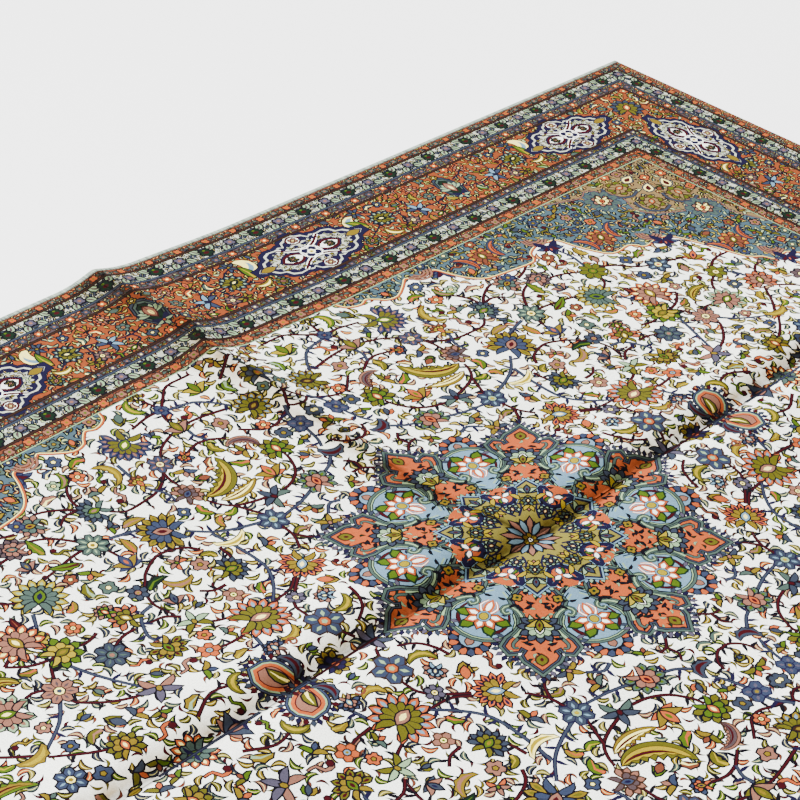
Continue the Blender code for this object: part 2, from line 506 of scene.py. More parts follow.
def vine(points, width=5.0, dye="maroon", ink="ink"):
    """A smooth stem through a few places, edged in ink, with small thorns on both sides."""
    course = smooth(points, 3)
    motif = [(ink, stroke(course, width, width * 0.8)), (dye, stroke(course, width * 0.5, width * 0.3))]
    along = np.gradient(course, axis=0)
    for k in range(2, len(course) - 1, 2):
        angle = math.degrees(math.atan2(along[k, 1], along[k, 0]))
        side = 1.0 if k % 4 else -1.0
        thorn = [(ink, spindle(3.0 * width, 0.9 * width, 0.35, 0.9, 40.0 * side, n=2))]
        motif = placed(thorn, course[k], angle + 50.0 * side) + motif
    return motif


def acanthus(length, width, dye, lining, bend=60.0, ink="ink"):
    """A leaf that rolls over at its tip, toothed on its outer side."""
    edge = spindle(length, width, 0.40, 0.75, bend, 0.42, 5)
    spine = bent(np.array([(0.0, 0.0), (0.4, 0.04), (0.9, 0.0)]) * length, bend * 1.1, length)
    return inked(dye, edge, ink) + [(lining, stroke(spine, width * 0.42, 0.8))]


def hook(length, width, dye, ink="ink", knob="maroon"):
    """An S-shaped tendril with a knob at its end."""
    bends = np.array([(-0.5, -0.10), (-0.2, 0.12), (0.15, -0.06), (0.42, 0.14), (0.36, 0.32)])
    tendril = inked(dye, stroke(smooth(bends * length, 2), width * 0.35, width), ink, 1.3)
    head = oval(width * 0.8, n=6, at=(0.34 * length, 0.30 * length))
    return tendril + inked(knob, head, ink, 1.0)


def forked(length, first, second, berry, ink="ink"):
    """Two leaves that part on a stalk, with a berry between."""
    motif = [(ink, stroke([(-0.6 * length, 0.0), (0.1 * length, 0.0)], 3.0, 2.2))]
    for angle, bend, dye in ((38.0, 75.0, first), (-38.0, -75.0, second)):
        blade = inked(dye, spindle(length * 0.85, length * 0.34, 0.45, 0.85, bend, 0.3, 3), ink, 1.5)
        motif += placed(blade, (-0.25 * length, 0.0), angle)
    return motif + inked(berry, spindle(0.5 * length, 0.30 * length, 0.5, 0.8, n=2), ink, 1.3)


def curl(radius, width, dye, turns=1.2):
    """A stem's rolled end."""
    angle = np.linspace(0.0, 2.0 * np.pi * turns, int(9 * turns) + 1)
    reach = radius * (1.0 - 0.72 * angle / angle[-1])
    path = np.stack([np.cos(angle) * reach - radius, np.sin(angle) * reach], 1)
    return [(dye, stroke(path, width, width * 1.3))]


print("a palmette is", len(fan(38.0, "blue", "gold", "coral")), "outlines")

# %% [markdown]
# ## The medallion
#
# The middle of the rug is a sixteen-part medallion. Pointed coral lobes and round light-blue
# lobes take turns about a bronze star, so one of each is drawn facing +X and carried round in
# eight steps. The weaver's knots are a little closer along the rug than across it, which is
# why the whole wheel is slightly longer than wide.

# %% Medallion lines
WHEEL = np.array([1.045, 0.955])
R = 270.0


def lobe_line(rows):
    """A mirror-symmetrical outline from shares of the wheel's radius."""
    return mirrored_outline(np.array(rows) * R)


def ringed(edge, rings):
    """An outline in several dyes, each a distance out from it, the widest first."""
    return [(dye, grown(edge, by)) for dye, by in rings]


def turned_arc(radius, start, end, centre):
    """Five places along an arc."""
    angle = np.radians(np.linspace(start, end, 5))
    return np.stack([np.cos(angle) * radius, np.sin(angle) * radius], 1) + centre


def teeth_along(path, pitch, length, dyes, ink="ink"):
    """Small pointed teeth on the right-hand side of a path, at an even pitch."""
    path = np.asarray(path, float)
    reach = np.concatenate([[0.0], np.cumsum(np.hypot(*np.diff(path, axis=0).T))])
    count = max(1, int(reach[-1] / pitch))
    across = sides_of(path)
    teeth = []
    for k in range(count + 1):
        place = reach[-1] * k / count
        at = [np.interp(place, reach, path[:, i]) for i in (0, 1)]
        out = [np.interp(place, reach, across[:, i]) for i in (0, 1)]
        angle = math.degrees(math.atan2(-out[1], -out[0]))
        tooth = inked(dyes[k % len(dyes)], spindle(length, pitch * 0.95, 0.35, 0.9, n=1), ink, 0.7)
        teeth += placed(tooth, at, angle)
    return teeth


def polar(rows):
    """Points from shares of the wheel's radius and angles in degrees."""
    r, a = np.array(rows, float).T
    a = np.radians(a)
    return np.stack([np.cos(a) * r * R, np.sin(a) * r * R], 1)


print("a toothed edge has", len(teeth_along([(0, 0), (60, 0)], 8, 8, ("navy",))), "outlines")

# %% Pointed lobes
def pointed_lobe():
    """A coral lobe: a narrow waist, a scrolled hook on each shoulder and a diamond tip."""
    edge = lobe_line([(0.42, 0.0), (0.47, 0.080), (0.535, 0.118), (0.60, 0.098), (0.66, 0.078),
                      (0.72, 0.080), (0.775, 0.105), (0.82, 0.150), (0.865, 0.172), (0.90, 0.150),
                      (0.893, 0.112), (0.862, 0.098), (0.888, 0.062), (0.925, 0.082), (0.955, 0.070),
                      (0.985, 0.040), (1.030, 0.0)])
    outer = grown(edge, 8.0)
    top = outer[(outer[:, 0] > 0.80 * R)]
    lobe = teeth_along(top[::-1] if top[0, 1] > 0 else top, 7.5, 13.0, ("slate", "lilac", "navy"))
    lobe += ringed(edge, (("ink", 10.0), ("sage", 8.6), ("ink", 5.0), ("slate", 3.6), ("ink", 1.6),
                          ("ring_ground", 0.0)))
    for side in (1.0, -1.0):
        volute = smooth(np.array([(0.80, 0.105 * side), (0.845, 0.135 * side), (0.875, 0.130 * side),
                                  (0.870, 0.108 * side)]) * R, 2)
        lobe += [("ink", stroke(volute, 7.0, 5.0)), ("sage", stroke(volute, 4.2, 2.6))]
    lobe += placed(inked("olive", spindle(0.075 * R, 0.055 * R, 0.5, 0.8), "brown", 1.6), (0.918 * R, 0.0))
    lobe += placed([("maroon", spindle(0.03 * R, 0.02 * R, n=2))], (0.938 * R, 0.0))
    for side in (1.0, -1.0):
        scroll = np.array([(0.800, 0.128), (0.740, 0.088), (0.670, 0.080), (0.610, 0.106),
                           (0.580, 0.150), (0.606, 0.180), (0.636, 0.166), (0.626, 0.142)])
        scroll = smooth(scroll * R * (1.0, side), 2)
        lobe += [("ink", stroke(scroll, 13.0, 8.0)), ("sage", stroke(scroll, 10.6, 6.0)),
                 ("ink", stroke(scroll, 6.0, 3.4)), ("celadon", stroke(scroll, 3.8, 1.6))]
    lobe += placed(fan(0.108 * R, "slate", "celadon", "ivory", "gold", 9, 250), (0.725 * R, 0.0))
    lobe += placed(tulip(0.058 * R, "yellow", "olive", "maroon"), (0.700 * R, 0.0))
    for x, y, angle in ((0.80, 0.060, 65), (0.615, 0.070, 120), (0.56, 0.030, 20), (0.845, 0.030, 80),
                        (0.50, 0.055, 150), (0.525, 0.095, 60), (0.475, 0.025, 100)):
        dart = [("ink", spindle(0.062 * R, 0.026 * R, 0.4, 0.9, 60.0, n=2))]
        lobe += paired(dart, (x * R, y * R), angle)
    return lobe


# %% Round lobes
def beaded_cap():
    """The small outer lobe: a light-blue round with a rim of blue and coral beads."""
    cap = [("ink", oval(0.112 * R, n=16, at=(0.900 * R, 0.0)))]
    for k in range(9):
        angle = -104.0 + 26.0 * k
        bead = inked("blue" if k % 2 else "coral", spindle(0.050 * R, 0.044 * R, 0.62, 0.6, n=2), "ink", 1.0)
        cap += placed(bead, turned((0.058 * R, 0.0), angle) + (0.905 * R, 0.0), angle)
    cap += placed(ringed(oval(0.058 * R, n=12), (("ink", 1.6), ("sky", 0.0))), (0.895 * R, 0.0))
    cap += placed(inked("rose", spindle(0.055 * R, 0.04 * R, 0.5, 0.7, n=3), "brown", 1.2), (0.885 * R, 0.0))
    return cap


def flower_cluster():
    """A yellow eye between white petals and green leaves, on two coral tails."""
    cluster = []
    for angle in (35.0, -35.0, 88.0, -88.0):
        blade = inked("leaf", spindle(0.080 * R, 0.052 * R, 0.5, 0.8, n=2), "forest", 2.0)
        cluster += placed(blade, turned((0.058 * R, 0.0), angle), angle)
    petal = inked("ivory", spindle(0.058 * R, 0.028 * R, 0.65, 0.7, n=2), "coral", 2.0)
    for shape in ([("ink", grown(petal[1][1], 4.4))], petal):
        cluster += around(shape, 5, 0.024 * R, -100.0, 200.0)
    bends = np.array([(-0.02, 0.015), (-0.075, 0.045), (-0.125, 0.018)]) * R
    for side in (1.0, -1.0):
        tail = smooth(bends * (1.0, side), 2)
        cluster += [("coral", stroke(tail, 6.5, 3.0)), ("ivory", stroke(tail, 2.4, 1.0))]
        dart = [("navy", spindle(0.040 * R, 0.018 * R, n=1))]
        cluster += placed(dart, (-0.045 * R, 0.070 * side * R), 100 * side)
    stalk = inked("ivory", spindle(0.080 * R, 0.026 * R, 0.5, 0.7, n=3), "coral", 2.4)
    cluster += placed(stalk, (-0.035 * R, 0.0), 180)
    eye = oval(0.026 * R, 0.022 * R, n=8)
    return cluster + ringed(eye, (("ink", 4.6), ("sky", 3.4), ("ink", 1.2), ("yellow", 0.0)))


def round_lobe():
    """A light-blue spade: a straight-sided dart below, a full circle above."""
    dart = [(0.450, 0.0), (0.520, 0.088), (0.588, 0.172), (0.620, 0.192), (0.640, 0.170), (0.618, 0.145)]
    edge = lobe_line(dart + [(0.612, 0.118), (0.645, 0.122), (0.690, 0.150), (0.745, 0.158), (0.795, 0.140),
                             (0.835, 0.100), (0.858, 0.050), (0.866, 0.0)])
    side = np.array(dart[2::-1]) * R + (-6.0, 6.0)
    fringe = teeth_along(side, 7.5, 13.0, ("ivory", "coral"), "maroon")
    lobe = paired(fringe) + beaded_cap()
    lobe += ringed(edge, (("ink", 9.6), ("sage", 8.2), ("ink", 4.6), ("celadon", 3.2), ("ink", 1.6),
                          ("sky", 0.0)))
    for s in (1.0, -1.0):
        arc = smooth(turned_arc(0.128 * R, 25.0 * s, 125.0 * s, (0.715 * R, 0.0)), 2)
        lobe += [("ink", stroke(arc, 8.0, 3.5)), ("maroon", stroke(arc, 5.6, 1.8))]
        stripe = np.array([(0.49, 0.030 * s), (0.575, 0.128 * s)]) * R
        lobe += [("ink", stroke(stripe, 2.0)), ("celadon", stroke(stripe + (4.0, -2.0 * s), 2.4))]
    return lobe + placed(flower_cluster(), (0.715 * R, 0.0))


# %% Star and ring
STAR_HALF = ((0.262, -22.5), (0.300, -18.0), (0.345, -14.0), (0.385, -11.0), (0.410, -8.0), (0.436, -4.0))


def star_ground():
    """The bronze star: eight spikes, edged in navy and light blue, toothed at their tips."""
    rows = []
    for k in range(8):
        rows += [(r, a + 45.0 * k) for r, a in STAR_HALF]
        rows += [(0.470, 45.0 * k)]
        rows += [(r, -a + 45.0 * k) for r, a in STAR_HALF[:0:-1]]
    edge = polar(rows)
    tip = [*STAR_HALF[3:], (0.470, 0.0)] + [(r, -a) for r, a in STAR_HALF[:2:-1]]
    star = around(teeth_along(grown_open(polar(tip), 5.0), 6.5, 9.0, ("sky", "celadon")), 8)
    return star + ringed(edge, (("ink", 7.0), ("sky", 5.8), ("ink", 3.4), ("navy", 2.4), ("bronze", 0.0)))


def grown_open(path, by):
    """A path moved to its right-hand side."""
    return path - sides_of(path) * by


def pocket():
    """A coral pocket that opens outward between two spikes, held by a thick navy line."""
    half = [(0.352, 0.030), (0.374, 0.036), (0.404, 0.058), (0.410, 0.088), (0.384, 0.082), (0.350, 0.064),
            (0.318, 0.056), (0.290, 0.034), (0.280, 0.0)]
    course = np.array(half + [(x, -y) for x, y in half[-2::-1]]) * R
    path = smooth(course, 2)
    well = lobe_line([(0.282, 0.0), (0.294, 0.034), (0.322, 0.052), (0.365, 0.062), (0.410, 0.066),
                      (0.440, 0.056), (0.450, 0.0)])
    motif = [("ink", stroke(path, 13.0)), ("sky", stroke(path, 11.0)), ("ink", stroke(path, 8.6)),
             ("ring_ground", well), ("navy", stroke(path, 6.4))]
    for angle in (55, -55, 150):
        blade = inked("leaf", spindle(0.044 * R, 0.028 * R, 0.5, 0.8, n=2), "forest", 1.4)
        motif += placed(blade, turned((0.012 * R, 0.0), angle) + (0.352 * R, 0.0), angle)
    petal = inked("ivory", spindle(0.050 * R, 0.026 * R, 0.6, 0.7, n=2), "slate", 1.4)
    motif += placed(around(petal, 3, 0.004 * R, -60.0), (0.350 * R, 0.0))
    return motif + placed([("coral", oval(0.011 * R, n=6))], (0.350 * R, 0.0))


def spike_flowers():
    """What stands on one spike of the star: an olive-backed flower, a pale tulip and side leaves."""
    motif = placed(tulip(0.048 * R, "celadon", "slate", "maroon"), (0.385 * R, 0.0))
    motif += placed(fan(0.046 * R, "olive", "sage", "maroon", "cream", 5, 230), (0.285 * R, 0.0))
    motif += placed(inked("rose", spindle(0.05 * R, 0.03 * R, 0.5, 0.8, n=2), "ink", 1.4), (0.205 * R, 0.0))
    for side in (1.0, -1.0):
        blade = inked("yellow", spindle(0.075 * R, 0.026 * R, 0.5, 0.9, 50.0 * side, n=2), "ink", 1.2)
        motif += placed(blade, (0.30 * R, 0.045 * R * side), 20.0 * side)
        motif += placed([("ink", spindle(0.05 * R, 0.018 * R, 0.5, 0.9, -40.0 * side, n=2))],
                        (0.245 * R, 0.060 * R * side), 35.0 * side)
    return motif


def centre_curl():
    """Navy curls and yellow leaves between a pale fan and the wheel's centre."""
    motif = placed(fan(0.040 * R, "celadon", "slate", "rose", "cream", 5, 220), (0.020 * R, 0.0))
    bends = np.array([(-0.04, 0.008), (0.0, 0.040), (0.045, 0.058), (0.062, 0.040), (0.046, 0.030)]) * R
    for side in (1.0, -1.0):
        motif += [("navy", stroke(smooth(bends * (1.0, side), 2), 3.4, 2.6))]
        blade = inked("yellow", spindle(0.055 * R, 0.022 * R, 0.5, 0.9, 60.0 * side, n=2), "ink", 1.2)
        motif += placed(blade, (-0.005 * R, 0.055 * side * R), 30.0 * side)
    return motif


def ring_floret():
    """A small dark floret between darts, sown on the coral ring."""
    floret = inked("gold", scallop(0.026 * R, 4), "ink", 1.6)
    floret += [("forest", oval(0.010 * R, n=5))]
    dart = [("ink", spindle(0.055 * R, 0.022 * R, 0.4, 0.9, 60.0, n=2))]
    for x, y, angle in ((0.025, 0.045, 70.0), (-0.035, 0.030, 120.0), (0.045, 0.0, 15.0)):
        floret += paired(dart, (x * R, y * R), angle)
    return floret


def medallion():
    """The whole wheel, from the ground up."""
    wheel = [("ink", oval(0.64 * R, n=48)), ("ring_ground", oval(0.625 * R, n=48))]
    wheel += around(round_lobe(), 8, start=22.5)
    wheel += around(pointed_lobe(), 8)
    wheel += around(placed(ring_floret(), (0.525 * R, 0.0)), 16, start=11.25)
    wheel += star_ground()
    wheel += around(pocket(), 8, start=22.5)
    wheel += around(spike_flowers(), 8)
    wheel += around(placed(centre_curl(), (0.205 * R, 0.0)), 8, start=22.5)
    for start, dye, length in ((11.25, "slate", 0.085), (0.0, "rose", 0.125), (22.5, "sky", 0.100)):
        petal = inked(dye, spindle(length * R, 0.030 * R, 0.6, 0.8, n=3), "ink", 1.8)
        wheel += around(petal, 16 if dye == "slate" else 8, 0.030 * R, start)
    wheel += rosette(0.040 * R, 6, "gold", "maroon", "ivory")
    return [(dye, counterclockwise(p * WHEEL)) for dye, p in wheel]


wheel = medallion()
print("medallion outlines:", len(wheel))

# %% [markdown]
# ## The field
#
# Dark stems wander over the ivory ground and carry the large flowers; paler two-tone stems
# cross them. The design is drawn for one quarter and mirrored twice, as the weavers do. Each
# place below is in millimetres from the rug's centre, measured on the half toward -X, so the
# lean of the rows is first taken off.

# %% Field helpers
LEAN = 0.055
LEAN_REACH = 0.65
field_chart = []


def straightened(points):
    """Measured places on the near half as design places."""
    p = np.atleast_2d(np.asarray(points, float))
    fade = 1.0 - ease(p[:, 0] * MM / LEAN_REACH)
    return np.stack([p[:, 0] - LEAN * p[:, 1] * fade, p[:, 1]], 1)


def put(motif, x, y, turn=0.0):
    """Adds a motif to the field."""
    field_chart.extend(placed(motif, straightened((x, y))[0], turn))


def grow(points, width=6.4, dye="maroon", ink="ink"):
    """Adds a stem to the field."""
    field_chart.extend(vine(straightened(points), width, dye, ink))


# %% Stems
DARK_STEMS = [
    [(198, 560), (175, 582), (152, 600), (108, 600)],
    [(198, 560), (226, 561), (262, 553)],
    [(198, 560), (206, 545), (209, 530)],
    [(198, 562), (201, 580), (206, 600)],
    [(115, 500), (152, 508), (187, 512), (204, 506)],
    [(215, 507), (230, 505), (257, 493), (275, 476)],
    [(43, 447), (65, 436), (87, 428), (110, 430), (126, 443), (140, 455)],
    [(20, 500), (30, 470), (43, 447), (20, 435), (0, 440)],
    [(191, 465), (175, 455), (168, 450)],
    [(191, 465), (212, 468), (238, 460)],
    [(290, 452), (310, 432), (335, 420), (361, 417), (391, 417), (409, 432)],
    [(293, 450), (297, 430), (296, 408)],
    [(190, 307), (165, 314), (143, 330), (130, 355), (127, 372)],
    [(213, 310), (243, 317), (268, 328), (282, 345), (289, 362)],
    [(268, 328), (256, 302), (248, 285)],
    [(370, 287), (380, 302), (398, 312), (425, 316), (457, 300), (470, 287), (486, 268), (493, 241),
     (486, 209)],
    [(435, 460), (434, 485), (420, 512), (397, 526)],
    [(437, 460), (460, 480), (490, 494), (513, 487)],
    [(440, 462), (462, 464), (480, 452)],
    [(474, 391), (492, 420), (513, 443), (543, 456), (580, 462)],
    [(474, 391), (504, 391), (539, 384), (574, 376)],
    [(474, 385), (466, 369), (462, 347)],
    [(539, 478), (560, 485), (580, 496)],
    [(248, 255), (249, 228), (258, 208), (264, 200)],
    [(247, 226), (232, 205), (212, 200)],
    [(314, 159), (336, 144), (364, 140), (385, 140)],
    [(311, 155), (343, 130), (361, 109), (364, 84)],
    [(346, 274), (348, 250), (358, 234)],
    [(393, 210), (414, 212), (429, 224)],
    [(482, 201), (500, 216), (524, 219)],
    [(475, 180), (455, 164), (429, 154)],
    [(543, 223), (566, 222), (590, 212)],
    [(586, 250), (604, 244), (628, 246)],
    [(660, 248), (690, 256), (716, 275)],
    [(37, 243), (52, 259), (66, 270), (84, 273)],
    [(66, 270), (64, 288), (75, 300)],
    [(280, 90), (284, 70), (296, 48), (318, 34)],
    [(364, 60), (348, 30), (340, 18)],
    [(0, 330), (25, 322), (45, 335), (52, 350)],
    [(80, 560), (50, 580), (20, 600)],
    [(450, 114), (480, 116), (495, 122)],
    [(600, 110), (650, 130), (690, 165), (690, 185)],
    [(690, 200), (720, 215), (750, 205)],
    [(716, 275), (700, 285), (682, 296)],
    [(690, 205), (670, 240), (655, 252)],
    [(765, 215), (785, 250), (815, 268)],
    [(826, 283), (860, 300), (900, 300)],
    [(656, 400), (640, 372), (615, 360)],
    [(668, 415), (700, 400), (730, 370), (765, 355)],
    [(561, 445), (600, 440), (640, 420)],
    [(765, 355), (800, 345), (838, 330)],
    [(786, 120), (820, 150), (850, 185)],
    [(700, 60), (740, 80), (780, 110)],
    [(865, 185), (900, 150), (905, 110)],
    [(865, 210), (900, 240), (935, 235)],
    [(600, 40), (560, 60), (520, 50)],
    [(905, 100), (940, 60), (990, 50)],
    [(905, 110), (950, 120), (1000, 150)],
]
PALE_STEMS = [
    [(198, 560), (187, 554), (148, 545), (122, 520), (105, 495)],
    [(333, 504), (335, 475), (336, 440), (322, 412), (322, 385)],
    [(262, 275), (300, 288), (330, 304), (357, 330)],
    [(48, 452), (60, 425), (61, 395), (66, 362), (74, 345)],
    [(334, 303), (327, 259), (325, 212), (332, 187), (350, 162), (372, 141)],
    [(448, 387), (409, 376), (385, 366)],
    [(143, 239), (161, 243), (178, 228)],
    [(496, 244), (521, 237), (539, 205), (539, 187)],
    [(625, 332), (640, 304)],
    [(653, 276), (662, 256)],
    [(200, 498), (200, 482), (191, 465)],
    [(443, 104), (450, 80), (458, 64)],
    [(75, 325), (100, 305), (128, 296)],
    [(150, 285), (190, 272), (228, 266)],
    [(660, 245), (640, 190), (610, 125)],
    [(700, 185), (730, 150), (775, 120)],
    [(656, 425), (665, 470), (656, 505)],
    [(865, 215), (850, 250), (835, 268)],
    [(905, 110), (880, 60), (860, 40)],
]
for stem in DARK_STEMS:
    grow(stem)
for stem in PALE_STEMS:
    grow(stem, 6.8, "slate", "navy")
print("stems:", len(DARK_STEMS) + len(PALE_STEMS))

# %% Large flowers
put(fan(40, "blue", "olive", "leaf", "cream", 11, 210, "navy", tip="rose"), 292, 534, -35)
put(fan(31, "gold", "olive", "brown", "gold", 11, 300, tip="sky"), 85, 481, 160)
put(rosette(12, 4, "blue", "rust", "slate", ink="navy"), 198, 560, 45)
put(tulip(21, "rose", "olive", "gold"), 207, 512, 90)
put(rosette(19, 6, "blue", "rose", "cream", "rose", "brown"), 284, 466)
put(fan(20, "rust", "yellow", "coral", "gold", 5, 120, "brown"), 334, 450, 90)
put(fan(24, "rose", "mauve", "blue", "navy", 7, 200, "brown"), 301, 389, 150)
put(feather(108, 42, "olive", "yellow", -95), 283, 368, 190)
put(feather(76, 26, "gold", "cream", -40, "brown"), 272, 348, 195)
put(fan(27, "olive", "leaf", "coral", "cream", 7, 230), 128, 384, 92)
put(tulip(22, "gold", "coral", "leaf"), 174, 350, 92)
put(rosette(18, 4, "blue", "gold", "slate", "lilac", "navy"), 60, 404)
put(crescent(52, 20, "slate", "maroon", 170), 50, 330, 300)
put(lily(24, "slate", "sage"), 212, 310, 60)
put(fan(40, "gold", "blue", "rose", "maroon", 11, 240, tip="olive"), 380, 349, 32)
put(rosette(23, 8, "sage", "gold", "cream", "celadon"), 474, 391)
put(tulip(20, "gold", "blue", "coral", "navy"), 463, 331, 90)
put(fan(39, "yellow", "sage", "leaf", "navy", 13, 300, tip="celadon"), 598, 352, 135)
put(rosette(16, 8, "yellow", "blue", "cream"), 652, 290)
put(fan(24, "rose", "sage", "gold", "maroon", 8, 240), 511, 478, 20)
put(fan(28, "slate", "sage", "leaf", "rose", 9, 190), 422, 447, 5)
put(crescent(70, 15, "gold", "yellow", -150), 362, 470, 160)
put(rosette(12, 5, "coral", "blue", "cream"), 393, 520)
put(rosette(22, 6, "slate", "yellow", "celadon", "sky", "navy"), 247, 269)
put(fan(33, "coral", "gold", "sky", "cream", 10, 220, tip="navy"), 284, 174, -38)
put(fan(43, "coral", "olive", "rose", "cream", 13, 300, tip="sky"), 411, 128, 195)
put(rosette(27, 5, "blue", "celadon", "coral", "celadon", "brown"), 356, 60, 0)
put(fan(26, "slate", "olive", "leaf", "gold", 9, 220), 366, 230, 195)
put(crescent(58, 15, "gold", "rose", 150), 414, 256, -50)
put(tulip(15, "rose", "slate", "navy"), 466, 232, 110)
put(lily(22, "celadon", "olive", "gold"), 475, 187, 100)
put(rosette(15, 5, "coral", "gold", "sky", ink="brown"), 503, 124)
put(fan(27, "olive", "gold", "leaf", "maroon", 7, 200, tip="maroon"), 536, 168, -90)
put(fan(26, "coral", "olive", "gold", "cream", 7, 190, tip="rose"), 537, 246, 60)
put(rosette(23, 7, "slate", "rose", "sage", "sage"), 599, 204)
put(fan(30, "leaf", "yellow", "olive", "gold", 9, 300), 645, 250, 180)
put(crescent(66, 15, "cream", "yellow", 130), 296, 282, -60)
put(crescent(54, 15, "olive", "yellow", 150), 298, 86, -100)
put(fan(28, "sage", "rose", "coral", "maroon", 8, 260, tip="leaf"), 138, 290, 100)
put(lily(19, "gold", "slate", "rose"), 189, 215, 120)
put(lily(25, "blue", "navy", "gold", "navy"), 461, 569, -90)
put(tulip(16, "maroon", "blue", "yellow", "navy"), 461, 572, -90)
put(tulip(21, "yellow", "leaf", "olive"), 122, 567, 90)
put(fan(27, "olive", "slate", "gold", "coral", 8, 240), 30, 530, 120)
put(crescent(52, 16, "leaf", "yellow", -150), 222, 610, -20)
put(fan(14, "gold", "olive", "brown", "cream", 5, 160), 208, 605, 90)
put(rosette(11, 5, "celadon", "gold", "cream"), 432, 526)
put(rosette(11, 5, "celadon", "coral", "cream"), 483, 534)
put(crescent(46, 12, "leaf", "rose", 120), 412, 548, -120)
put(feather(60, 22, "rose", "mauve", -130, "brown"), 142, 408, 100)
put(rosette(11, 5, "coral", "blue", "cream"), 103, 439)
put(fan(15, "blue", "coral", "gold", "navy", 5, 180), 245, 457, -40)
put(fan(16, "rose", "sky", "blue", "cream", 6, 200), 316, 98, 40)
put(crescent(46, 13, "gold", "yellow", 160), 393, 86, -100)
put(curl(9, 3.2, "rust"), 424, 60)
put(fan(16, "blue", "rose", "sky", "cream", 6, 180), 441, 66, 80)
put(rosette(15, 6, "slate", "gold", "rose"), 493, 275)
put(rosette(14, 5, "rose", "leaf", "cream", ink="brown"), 400, 188)
put(rosette(13, 6, "lilac", "gold", "cream"), 346, 124)
put(fan(16, "rose", "leaf", "coral", "cream", 6, 180), 551, 273, 70)
put(rosette(11, 5, "coral", "rust", "cream", ink="brown"), 603, 277)
put(tulip(15, "rose", "slate", "gold"), 570, 412, 90)
put(lily(14, "rose", "coral", "leaf"), 414, 290, 60)
put(leaf(42, 13, "forest", "leaf", 80, 0.3, 7), 478, 268, 130)
put(leaf(34, 11, "maroon", "rust", 40), 652, 312, 70)
put(leaf(40, 15, "leaf", "gold", 20, 0.4, 7), 536, 418, 80)
put(leaf(44, 14, "leaf", "maroon", 30, 0.3, 7), 512, 372, 10)
put(leaf(40, 14, "gold", "rose", 50), 418, 392, 160)
put(leaf(38, 13, "gold", "coral", -30), 440, 340, 110)

# %% Hearts on the long axis
def heart_palmette():
    """Two coral lobes that part like a heart, each banded and toothed."""
    edge = spindle(66, 44, 0.62, 0.6, 25.0, n=6)
    rim = grown(edge, 7.0)
    lobe = teeth_along(np.vstack([rim, rim[:1]]), 8.0, 11.0, ("navy", "maroon", "slate"))
    lobe += ringed(edge, (("ink", 8.0), ("blue", 6.4), ("ink", 3.8), ("celadon", 2.6), ("coral", 0.0),
                          ("maroon", -5.0), ("rose", -6.6)))
    lobe += placed(leaf(34, 15, "olive", "cream", 40), (16.0, 0.0), 10.0)
    return paired(lobe, (0.0, 3.0), 40.0)


put(heart_palmette(), 452, 0)
put(fan(24, "gold", "navy", "coral", "cream", 8, 240, tip="olive"), 398, 0, 180)
put(lily(24, "lilac", "slate", "navy"), 330, 0, 0)
put(fan(30, "coral", "sage", "leaf", "cream", 10, 280, tip="cream"), 640, 0, 0)
put(tulip(24, "slate", "rose", "gold"), 575, 0, 180)
put(crescent(52, 16, "slate", "maroon", 150), 452, 52, 200)
put(crescent(48, 15, "olive", "yellow", -150), 506, 62, 20)
for y in (300, 465):
    put(rosette(16, 6, "slate", "gold", "cream", "lilac"), 0, y)
grow([(300, 0), (345, 0), (398, 0), (440, 0)])
grow([(530, 0), (575, 0), (640, 0), (700, 0)], 6.8, "slate", "navy")

# %% Flowers of the far field
put(fan(37, "coral", "rose", "gold", "cream", 11, 300, tip="cream"), 676, 300, 80)
put(fan(34, "celadon", "rose", "leaf", "cream", 10, 300, tip="rose"), 765, 205, 20)
put(rosette(23, 7, "rose", "slate", "cream", "mauve"), 692, 196)
put(lily(27, "lilac", "rose", "gold"), 602, 108, -60)
put(rosette(19, 6, "olive", "gold", "cream", "leaf"), 826, 272)
put(crescent(60, 20, "gold", "yellow", 140), 770, 135, -80)
put(rosette(25, 8, "olive", "gold", "leaf", "leaf", "forest"), 656, 411)
put(fan(23, "mauve", "rose", "sage", "coral", 9, 280), 561, 454, 30)
put(rosette(11, 4, "blue", "yellow", "gold", ink="navy"), 527, 490)
put(fan(30, "coral", "rose", "olive", "cream", 9, 260, tip="rose"), 865, 204, 60)
put(fan(26, "sage", "olive", "rose", "gold", 9, 240), 905, 106, 30)
put(rosette(22, 6, "slate", "coral", "cream", "sky"), 765, 352)
put(tulip(20, "gold", "coral", "navy"), 838, 330, 40)
put(fan(25, "olive", "gold", "coral", "cream", 8, 240), 700, 60, 100)
put(rosette(20, 6, "blue", "gold", "cream", "sky"), 786, 60)
put(fan(22, "rose", "sage", "leaf", "navy", 8, 260), 935, 240, 40)
put(lily(22, "gold", "olive", "coral"), 860, 38, -90)
put(rosette(18, 6, "mauve", "gold", "cream"), 940, 170)
put(fan(24, "coral", "olive", "gold", "navy", 8, 280), 996, 52, 0)
put(tulip(20, "leaf", "gold", "coral"), 1000, 152, 60)
put(feather(70, 26, "leaf", "gold", 90), 880, 96, 150)
put(feather(64, 24, "olive", "yellow", -90), 720, 240, 60)
print("field outlines:", len(field_chart))

# %% [markdown]
# ## The corners of the field
#
# Each corner is closed by a dusky blue band of arches. Its inner edge swings from lobe to
# lobe between the two borders; where two lobes meet, a navy flower hangs with pink fans over
# it. Behind the band the very corner is a tan ground with olive and sage flowers.

